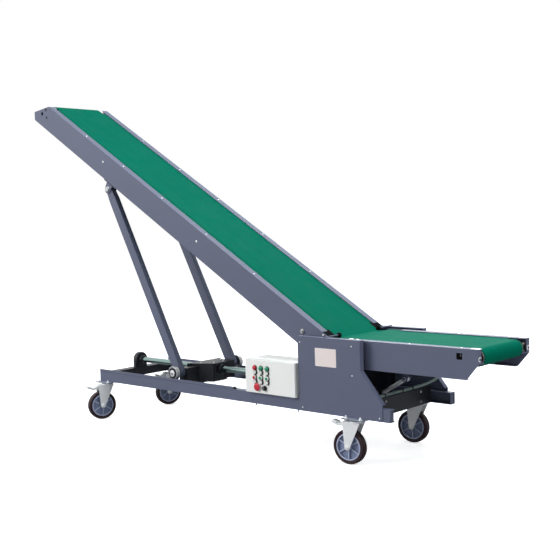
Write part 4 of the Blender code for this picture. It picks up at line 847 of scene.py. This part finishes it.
def infeedFasteners():
    parts = Bundle()
    for side in (-1, 1):
        for x in infeedEnd["screws"]:
            buttonScrew(parts, at(x, side * panel["flange"], 0.691), (0, 0, 1), 0.85)
        washer = ((12.8, 0), (13.5, 0.5), (13.5, 1.5), (11.8, 2.2), (7.5, 2.2), (7.5, 0))
        x, z = infeedEnd["washer"]
        parts.turned(washer, 28, plated, at(x, side * 0.2554, z), (1, 0, 0), ring=True)
        for x in infeedEnd["bed"]:
            hexBolt(parts, at(x, side * 0.255, infeedEnd["bedLevel"]), (0, 0, -1), 0.8, look=ink)
        # A bright zinc plate on the flange's end: a painted highlight of the panel end's lit top corner
        x, z = infeedEnd["cover"]
        parts.put(plate(0.052, 0.034, 0.0026, 0.01), plated, facing(at(x, side * 0.253, z), (0, 0, 1)))
        x, z = infeedEnd["lip"]
        parts.put(plate(0.07, 0.02, 0.003, 0.003), slate, facing(at(x, side * 0.236, z), (0, 0, 1), pi / 2))
        x, z = infeedEnd["hole"]
        behind, tab = at(x, side * panel["behind"], z), at(x + 0.006, side * 0.2676, z + 0.005)
        # A near-black plate behind the square hole: painted shade seen through it
        parts.put(plate(0.044, 0.044, 0.0015, 0.002), shadeBlack, facing(behind, (0, -side, 0)))
        parts.put(plate(0.008, 0.01, 0.002, 0.001), sooty, facing(tab, (0, side, 0)))
    parts.make("infeed_fasteners", "infeed", "zinc")


infeedFasteners()
print("boom and infeed fittings done")


# Carriage: axle bolts, washers and the nut housing's cover bolts, placed from the struts' foot
nutCover = {"top": 0.424, "bolts": ((-0.012, 0.13), (0.045, 0.092), (0.118, 0.044)), "grease": 0.06}
axleEnd = {"roller": 0.3132, "y": 0.165, "x": 0.046, "drops": (-0.02, -0.07)}


def carriageFittings():
    parts = Bundle()
    foot = Vector(joints["strut_fold"]["pos_m"])
    low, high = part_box("carriage_beam")
    for side in (-1, 1):
        out = (0, side, 0)
        end = Vector((foot.x, high.y if side > 0 else low.y, foot.z))
        spot = facing(end, out, 0.3)
        washer = ((21.5, -1), (21.5, 0.6), (20.5, 1.4), (4, 1.4))
        parts.put(lathe(washer, 32), plated, spot)
        parts.put(lathe(((11.8, 1.2), (12.2, 1.8), (12.2, 7), (10.4, 8.2)), 6), bright, spot)
        ring = ((34.5, 0.4), (34.5, -2.4), (23.5, -2.4), (23.5, 0.4))
        place = foot + Vector((0, side * axleEnd["roller"], 0))
        parts.turned(ring, 36, blackPlastic, place, out, ring=True)
        for dz in axleEnd["drops"]:
            place = foot + Vector((axleEnd["x"], side * axleEnd["y"], dz))
            hexBolt(parts, place, (1, 0, 0), 0.7, look=ink)
    rise = nutCover["top"] - foot.z
    for dx, dy in nutCover["bolts"]:
        for side in (1, -1):
            hexBolt(parts, foot + Vector((dx, side * dy, rise)), (0, 0, 1), 0.75)
    grease = ((4.5, 0), (4.5, 4), (2.5, 6), (3.4, 9), (2.2, 12))
    parts.turned(grease, 12, bright, foot + Vector((nutCover["grease"], 0, rise)), (0, 0, 1))
    parts.make("carriage_fittings", "carriage", "zinc")


carriageFittings()


# Casters: tyre skins come from the CAD; here go bearings, nuts, seals, pedals' pads, spokes and a pale ring on
# each core's rim that is a painted highlight
# Heights of the swivel's seal and bolt, the pedal's place and lean, and distances from the wheel's middle
caster = {"seal": 0.2508, "bolt": 0.2404, "pedalReach": 0.137, "pedalHeight": 0.2352, "lean": -16,
          "nut": 0.033, "bearing": 0.026, "rim": 0.0203, "spokes": 0.0162, "spokeReach": 0.0455}


def casterFittings():
    for name, swivel, hub, axle in corners:
        trail = Vector((hub.x - swivel.x, hub.y - swivel.y, 0)).normalized()
        top = Bundle()
        seal = ((40.5, 0), (41.5, 1), (41.5, 6.5), (40.5, 7.5), (37, 7.5), (37, 0))
        top.put(lathe(seal, 40, ring=True), sooty, Matrix.Translation((swivel.x, swivel.y, caster["seal"])))
        top.make(f"swivel_seal_{name}", "chassis", "zinc")
        fork = Bundle()
        for side in (-1, 1):
            hexBolt(fork, hub + axle * (side * caster["nut"]), axle * side, 1.25, stub=0 if side < 0 else 2)
        pedal = Vector((swivel.x, swivel.y, caster["pedalHeight"])) + trail * caster["pedalReach"]
        lean = Matrix.Rotation(radians(caster["lean"]), 4, "Y")
        turn = Matrix.Translation(pedal) @ Matrix.Rotation(atan2(trail.y, trail.x), 4, "Z") @ lean
        tread = plate(0.04, 0.05, 0.0028, 0.006, 0.0008)
        fork.put(tread, plated, turn)
        for dx in (-0.012, -0.004, 0.004, 0.012):
            rib = plate(0.003, 0.038, 0.0012, 0.0014, 0.0004)
            fork.put(rib, plated, turn @ Matrix.Translation((dx, 0, 0.0026)))
        hexBolt(fork, (swivel.x, swivel.y, caster["bolt"]), (0, 0, -1), 1.4)
        fork.make(f"fork_fittings_{name}", f"fork_{name}", "zinc")
        wheel = Bundle()
        for side in (-1, 1):
            face = ((18, -1), (18, 0.6), (16.5, 1.4), (12, 1.4), (11, 0.8), (8.2, 0.8), (8.2, -1))
            wheel.turned(face, 32, bright, hub + axle * (side * caster["bearing"]), axle * side, ring=True)
            # A pale ring at the core's rim: a painted highlight of the rim's edge
            rim = ((69.8, -0.4), (69.8, 0.4), (70.6, 0.8), (76.2, 0.8), (77, 0.4), (77, -0.4))
            wheel.turned(rim, 48, paleSpokeAndRimHighlight, hub + axle * (side * caster["rim"]), axle * side, ring=True)
            spot = facing(hub + axle * (side * caster["spokes"]), axle * side)
            up = spot.to_3x3().inverted() @ Vector((0, 0, 1))
            for k in range(6):
                turn = Matrix.Rotation(atan2(up.y, up.x) + k * pi / 3, 4, "Z")
                spoke = plate(0.046, 0.0066, 0.0009, 0.001, 0.0003, 1)
                wheel.put(spoke, paleSpokeAndRimHighlight, spot @ turn @ Matrix.Translation((caster["spokeReach"], 0, 0)))
        wheel.make(f"wheel_trim_{name}", f"wheel_{name}", "steel")


casterFittings()
print("carriage and casters done")

# Control box: seam gasket, hinges, buttons and what is inside
boxLow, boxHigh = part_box("control_box")
panelBox = {"left": boxLow.x, "right": boxHigh.x, "bottom": boxLow.z, "top": boxHigh.z, "back": boxHigh.y,
            "seam": boxLow.y, "front": boxLow.y - 0.0163}
# Distance from the hinge and from the top, then the looks of cap and rim
indicators = ((0.079, 0.048, redCap, redCap), (0.129, 0.048, greenCap, greenCap),
              (0.179, 0.048, greenCap, greenCap), (0.079, 0.106, redCap, whiteNylon),
              (0.129, 0.106, greenCap, whiteNylon), (0.179, 0.106, greenCap, whiteNylon))
turnKnob, stopButton = (0.156, 0.166), (0.1, 0.163)
switches = ((0.083, 0.074), (0.131, 0.074), (0.179, 0.074), (0.083, 0.131), (0.131, 0.131), (0.179, 0.131))


def hingeKnuckles(bundle, *levels):
    knuckle = ((4.2, 0), (4.8, 0.8), (4.8, 13.2), (4.2, 14))
    for z in levels:
        bundle.turned(knuckle, 16, plated, (panelBox["left"], panelBox["seam"], z), (0, 0, 1))


def doorFittings():
    parts = Bundle()
    out = (0, -1, 0)

    def spot(x, down, lift=0):
        return facing((panelBox["left"] + x, panelBox["front"] - lift, panelBox["top"] - 0.0003 - down), out)

    bezel = ((16.4, 0), (16.7, 1.4), (15.8, 4.6), (14, 5.2), (12.8, 4))
    dome = ((13, 2), (13.4, 8.5), (12.6, 10.6), (10.4, 12.6), (6.5, 13.8), (2, 14.2))
    lens = ((9.6, 12), (9.8, 13.8), (9, 14.5), (6, 15), (1.5, 15.2))
    for x, down, cap, rim in indicators:
        for profile, look in ((bezel, blackPlastic), (dome, rim), (lens, cap)):
            parts.put(lathe(profile, 28), look, spot(x, down))
    bezel = ((15.4, 0), (15.7, 1.6), (15, 6.2), (11.2, 6.8))
    cap = ((10.8, 3), (11, 10.4), (10.2, 11.4), (8, 11.2), (2, 10.8))
    for x, down in switches:
        for profile, look in ((bezel, blackPlastic), (cap, whiteNylon)):
            parts.put(lathe(profile, 28), look, spot(x, down))
    knob = ((16, 0), (16.3, 2), (15, 3.6), (14.4, 4), (14.2, 14.2), (12.5, 15.6))
    parts.put(lathe(knob, 28), blackPlastic, spot(*turnKnob))
    parts.put(plate(0.005, 0.025, 0.004, 0.002, 0.0006), greyPlastic, spot(*turnKnob, 0.015))
    stop = ((14, 0), (14, 7), (11, 8), (22.2, 8.4), (23.3, 10), (22.6, 13.2), (20, 15.4), (12.5, 16.4),
            (3, 16.6))
    parts.put(lathe(stop, 32), redCap, spot(*stopButton))
    hingeKnuckles(parts, 0.385, 0.49)
    parts.make("door_fittings", "control_door_body", "enamel")


doorFittings()


switchgear = {"contactors": 4, "terminals": 14, "upper": 0.47, "lower": 0.38}


def boxFittings():
    # Seam gasket, hinge knuckles, cable glands, and the mounting plate with its switchgear
    parts = Bundle()
    left, right, bottom, top = list(panelBox.values())[:4]
    wide, high = right - left, top - bottom
    centre = Vector(((left + right) / 2, panelBox["seam"], (top + bottom) / 2))
    turn = Matrix.Translation(centre) @ Matrix.Rotation(pi / 2, 4, "X")
    loops = []
    for grow, z in ((0.0008, -0.0022), (0.0008, -0.0006), (-0.0075, -0.0006), (-0.0075, -0.0022)):
        flat = roundRect(wide + 2 * grow, high + 2 * grow, 0.002, 3)
        loops.append(np.column_stack([flat, np.full(len(flat), z)]))
    parts.put(loft(loops, ring=True), blackPlastic, turn)
    hingeKnuckles(parts, 0.3705, 0.4, 0.4755, 0.505)
    gland = ((12, 0), (12, 6), (10, 7), (10, 18), (8, 21), (5, 21))
    for x in (0.4, 0.45, 0.5):
        parts.turned(gland, 6, blackPlastic, (x, panelBox["back"], 0.372), (0, 1, 0))

    def mounted(sizes, look, x, lift, z):
        # A piece on the mounting plate, its back lifted off the box's back
        parts.put(plate(*sizes), look, facing((x, panelBox["back"] - lift, z), (0, -1, 0)))

    upper, lower = switchgear["upper"], switchgear["lower"]
    mounted((wide - 0.04, high - 0.036, 0.002, 0.004), plated, centre.x, 0.004, centre.z)
    mounted((wide - 0.07, 0.035, 0.0075, 0.002), plated, centre.x, 0.006, upper)
    for k in range(switchgear["contactors"]):
        x = 0.385 + k * 0.056
        mounted((0.045, 0.078, 0.06, 0.003, 0.001), greyPlastic, x, 0.013, upper)
        mounted((0.03, 0.03, 0.014, 0.003, 0.001), blackPlastic, x, 0.073, upper)
        for dx in (-0.014, 0, 0.014):
            for dz in (-0.032, 0.032):
                buttonScrew(parts, (x + dx, panelBox["back"] - 0.073, upper + dz), (0, -1, 0), 0.55)
    for k in range(switchgear["terminals"]):
        mounted((0.0092, 0.046, 0.042, 0.001, 0.0006, 1), whiteNylon, 0.375 + k * 0.0105, 0.006, lower)
    mounted((0.11, 0.03, 0.045, 0.002, 0.001), greyPlastic, 0.61, 0.006, lower)
    parts.make("box_fittings", "chassis", "enamel")


boxFittings()


label = {"left": 1.967, "right": 2.118, "bottom": 0.536, "top": 0.64}


def blankLabel():
    parts = Bundle()
    x0, x1, z0, z1 = label.values()
    turn = facing(at((x0 + x1) / 2, -cheekFace, (z0 + z1) / 2), (0, -1, 0))
    parts.put(plate(x1 - x0, z1 - z0, 0.0006, 0.004, 0.0002), paleLabel, turn)
    parts.make("blank_label", "chassis", "enamel")


blankLabel()
print("control box done")

# Flexible conduit on the front beam: ribbed hose, clips, and its gland on the infeed's inner side
hose = {"radius": 0.0088, "rib": 0.0012, "pitch": 0.0045, "x": 2.326, "z": 0.3763}


def beamConduit():
    x, z = hose["x"], hose["z"]
    route = ((0, -0.262, 0), (0, -0.15, 0), (0, -0.02, 0), (0, 0.075, 0), (0, 0.11, 0.001),
             (0.034, 0.17, 0.014), (0.072, 0.205, 0.034), (0.105, 0.215, 0.062), (0.118, 0.216, 0.1),
             (0.122, 0.217, 0.15), (0.124, 0.224, 0.19), (0.124, 0.243, 0.212), (0.124, 0.262, 0.218))
    points = curvePoints(route, 40) + (x, 0, z)
    points[:, 2] = np.maximum(points[:, 2], z)
    gaps = np.linalg.norm(np.diff(points, axis=0), axis=1)
    along = np.concatenate([[0], np.cumsum(gaps)])
    count = int(along[-1] / hose["pitch"] * 4)
    even = np.linspace(0, along[-1], count)
    points = np.column_stack([np.interp(even, along, points[:, k]) for k in range(3)])
    points += at(0, 0, 0)
    # radius = largest + rib * (cos(2 pi s / pitch) - 1) / 2, with s counted along the hose
    radius = hose["radius"] + hose["rib"] * (np.cos(2 * np.pi * even / hose["pitch"]) * 0.5 - 0.5)
    parts = Bundle()
    parts.put(alongPath(points, radius, 14), greyHose)
    made = parts.make("beam_conduit", "chassis", "zinc", angle=60,
                      blend=("infeed", at(2.444, 0.215, 0.47), at(2.45, 0.215, 0.545)))
    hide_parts("cable_conduit")
    clips = Bundle()
    for y in (-0.25, -0.17, 0, 0.1):
        arch = [(0.0105 * cos(a), 0.0105 * sin(a)) for a in np.radians(np.linspace(-20, 200, 12))]
        loops = []
        for w in (-0.006, 0.006):
            outer = [(dx * 1.12, w, dz * 1.12) for dx, dz in arch[::-1]]
            loops.append([(dx, w, dz) for dx, dz in arch] + outer)
        clips.put(loft(loops), sooty, Matrix.Translation(at(x, y, z)))
        foot = plate(0.014, 0.012, 0.0012, 0.002, 0.0003)
        clips.put(foot, sooty, Matrix.Translation(at(x - 0.016, y, 0.367)))
        buttonScrew(clips, at(x - 0.018, y, 0.3682), (0, 0, 1), 0.55)
    gland = ((12.5, 0), (12.5, 6), (10.8, 7.5), (10.8, 18), (9.2, 20), (6, 20))
    clips.turned(gland, 20, blackPlastic, at(x, -0.2823, z), (0, 1, 0))
    clips.make("conduit_clips", "chassis", "zinc")
    collar = Bundle()
    collar.turned(gland, 20, blackPlastic, at(x + 0.124, 0.2694, z + 0.219), (0, -1, 0))
    collar.make("conduit_gland", "infeed", "zinc")


beamConduit()


# Tilt cylinder: end cap, wiper ring, pins
def tiltFittings():
    parts = Bundle()
    base = Vector(joints["tilt_stroke"]["pos_m"])
    way = Vector(joints["tilt_stroke"]["axis"])
    cap = ((22.2, 0), (24, 1), (24, 16), (22.5, 18), (15, 20), (12.6, 20), (12.6, 0))
    parts.turned(cap, 32, ink, base + way * 0.1085, way, ring=True)
    band = ((22.2, 0), (23.6, 1), (23.6, 11), (22.2, 12))
    parts.turned(band, 32, ink, base + way * 0.03, way)
    parts.make("tilt_cylinder_caps", "tilt_cylinder_body", "black_paint")
    lower, upper = Bundle(), Bundle()
    clip = ((11, 0), (11.2, 0.6), (11.2, 1.6), (10, 2))
    for side in (1, -1):
        for bundle, spot in ((lower, base), (upper, at(2.358, 0, 0.449))):
            bundle.turned(clip, 20, plated, spot + Vector((0, side * 0.0182, 0)), (0, side, 0))
        for x in (2.385, 2.414):
            hexBolt(upper, at(x, side * 0.04, 0.5335), (0, 0, -1), 0.8)
    lower.make("tilt_base_pin_clips", "chassis", "zinc")
    upper.make("tilt_eye_pin_clips", "infeed", "zinc")


tiltFittings()
print("conduit and tilt fittings done")


# Studio: a pale floor, white surroundings and large soft lights
studio = {"floor": (0.86, 0.86, 0.87), "bounce": (0.3, 0.31, 0.33), "ambient": 0.44, "slantX": -0.46,
          "slantY": -0.12, "mirror": 0.92, "mirrorX": -0.45,
          "least": 0.05, "reach": 30, "glow": 0.66, "key": 375, "fill": 150, "top": 260, "back": 120}


def mixShader(tree, amount, first, second):
    return add(tree, "MixShader", ((0, amount), (1, first.outputs[0]), (2, second.outputs[0])))


def makeStudio():
    world = bpy.data.worlds.new("studioWorld")
    bpy.context.scene.world = world
    world.use_nodes = True
    tree = world.node_tree
    tree.nodes.clear()
    path = add(tree, "LightPath")
    seen = add(tree, "Background", (("Color", (1, 1, 1, 1)), ("Strength", 1)))
    toward = add(tree, "SeparateXYZ", ((0, add(tree, "TexCoord").outputs["Generated"]),)).outputs
    slant = line(tree, toward["X"], studio["slantX"], studio["ambient"])
    slant = line(tree, toward["Y"], studio["slantY"], slant)
    slant = sums(tree, "MAXIMUM", slant, studio["least"])
    lit = add(tree, "Background", (("Color", (0.97, 0.98, 1, 1)), ("Strength", slant)))
    shine = line(tree, toward["X"], studio["mirrorX"], studio["mirror"])
    shown = add(tree, "Background", (("Color", (0.97, 0.99, 1, 1)), ("Strength", shine)))
    other = mixShader(tree, path.outputs["Is Glossy Ray"], lit, shown)
    mixed = mixShader(tree, path.outputs["Is Camera Ray"], other, seen)
    out = add(tree, "OutputWorld")
    tree.links.new(mixed.outputs[0], out.inputs["Surface"])

    floorMesh = bpy.data.meshes.new("studioFloor")
    size = studio["reach"]
    around = ((-size, -size, 0), (size, -size, 0), (size, size, 0), (-size, size, 0))
    floorMesh.from_pydata(around, [], ((0, 1, 2, 3),))
    material, tree, shader, place = newMaterial("studioFloor", studio["floor"])
    feed(tree, shader, (("Base Color", (*studio["floor"], 1)), ("Roughness", 0.85),
                        ("Specular IOR Level", 0.1)))
    path = add(tree, "LightPath")
    glow = add(tree, "Emission", (("Color", (1, 1, 1, 1)), ("Strength", studio["glow"])))
    both = add(tree, "AddShader", ((0, shader.outputs[0]), (1, glow.outputs[0])))
    dim = add(tree, "BsdfDiffuse", (("Color", (*studio["bounce"], 1)),))
    pick = mixShader(tree, path.outputs["Is Camera Ray"], dim, both)
    output = next(node for node in tree.nodes if node.bl_idname == "ShaderNodeOutputMaterial")
    tree.links.new(pick.outputs[0], output.inputs["Surface"])
    floorMesh.materials.append(material)
    newObject("studioFloor", floorMesh)

    for name, power, place, target, size, colour in (
        ("keyLight", studio["key"], (-3.6, -6.5, 4.9), (0, 0, 0.8), 3.6, (1, 0.99, 0.97)),
        ("fillLight", studio["fill"], (6.6, 0, 3.9), (0.3, 0, 0.6), 1.6, (1, 1, 1)),
        ("topLight", studio["top"], (0.9, 0.2, 6.2), (0.3, 0, 0.5), 3.2, (0.84, 0.92, 1)),
        ("backLight", studio["back"], (-3, 7, 4), (0, 0, 0.8), 4, (0.92, 0.96, 1)),
    ):
        data = bpy.data.lights.new(name, "AREA")
        data.energy, data.size, data.color = power, size, colour
        lamp = newObject(name, data)
        lamp.location = place
        lamp.rotation_euler = (Vector(target) - Vector(place)).to_track_quat("-Z", "Y").to_euler()
    bpy.context.scene.view_settings.view_transform = "Standard"


makeStudio()
print("studio done")
bpy.context.view_layer.update()
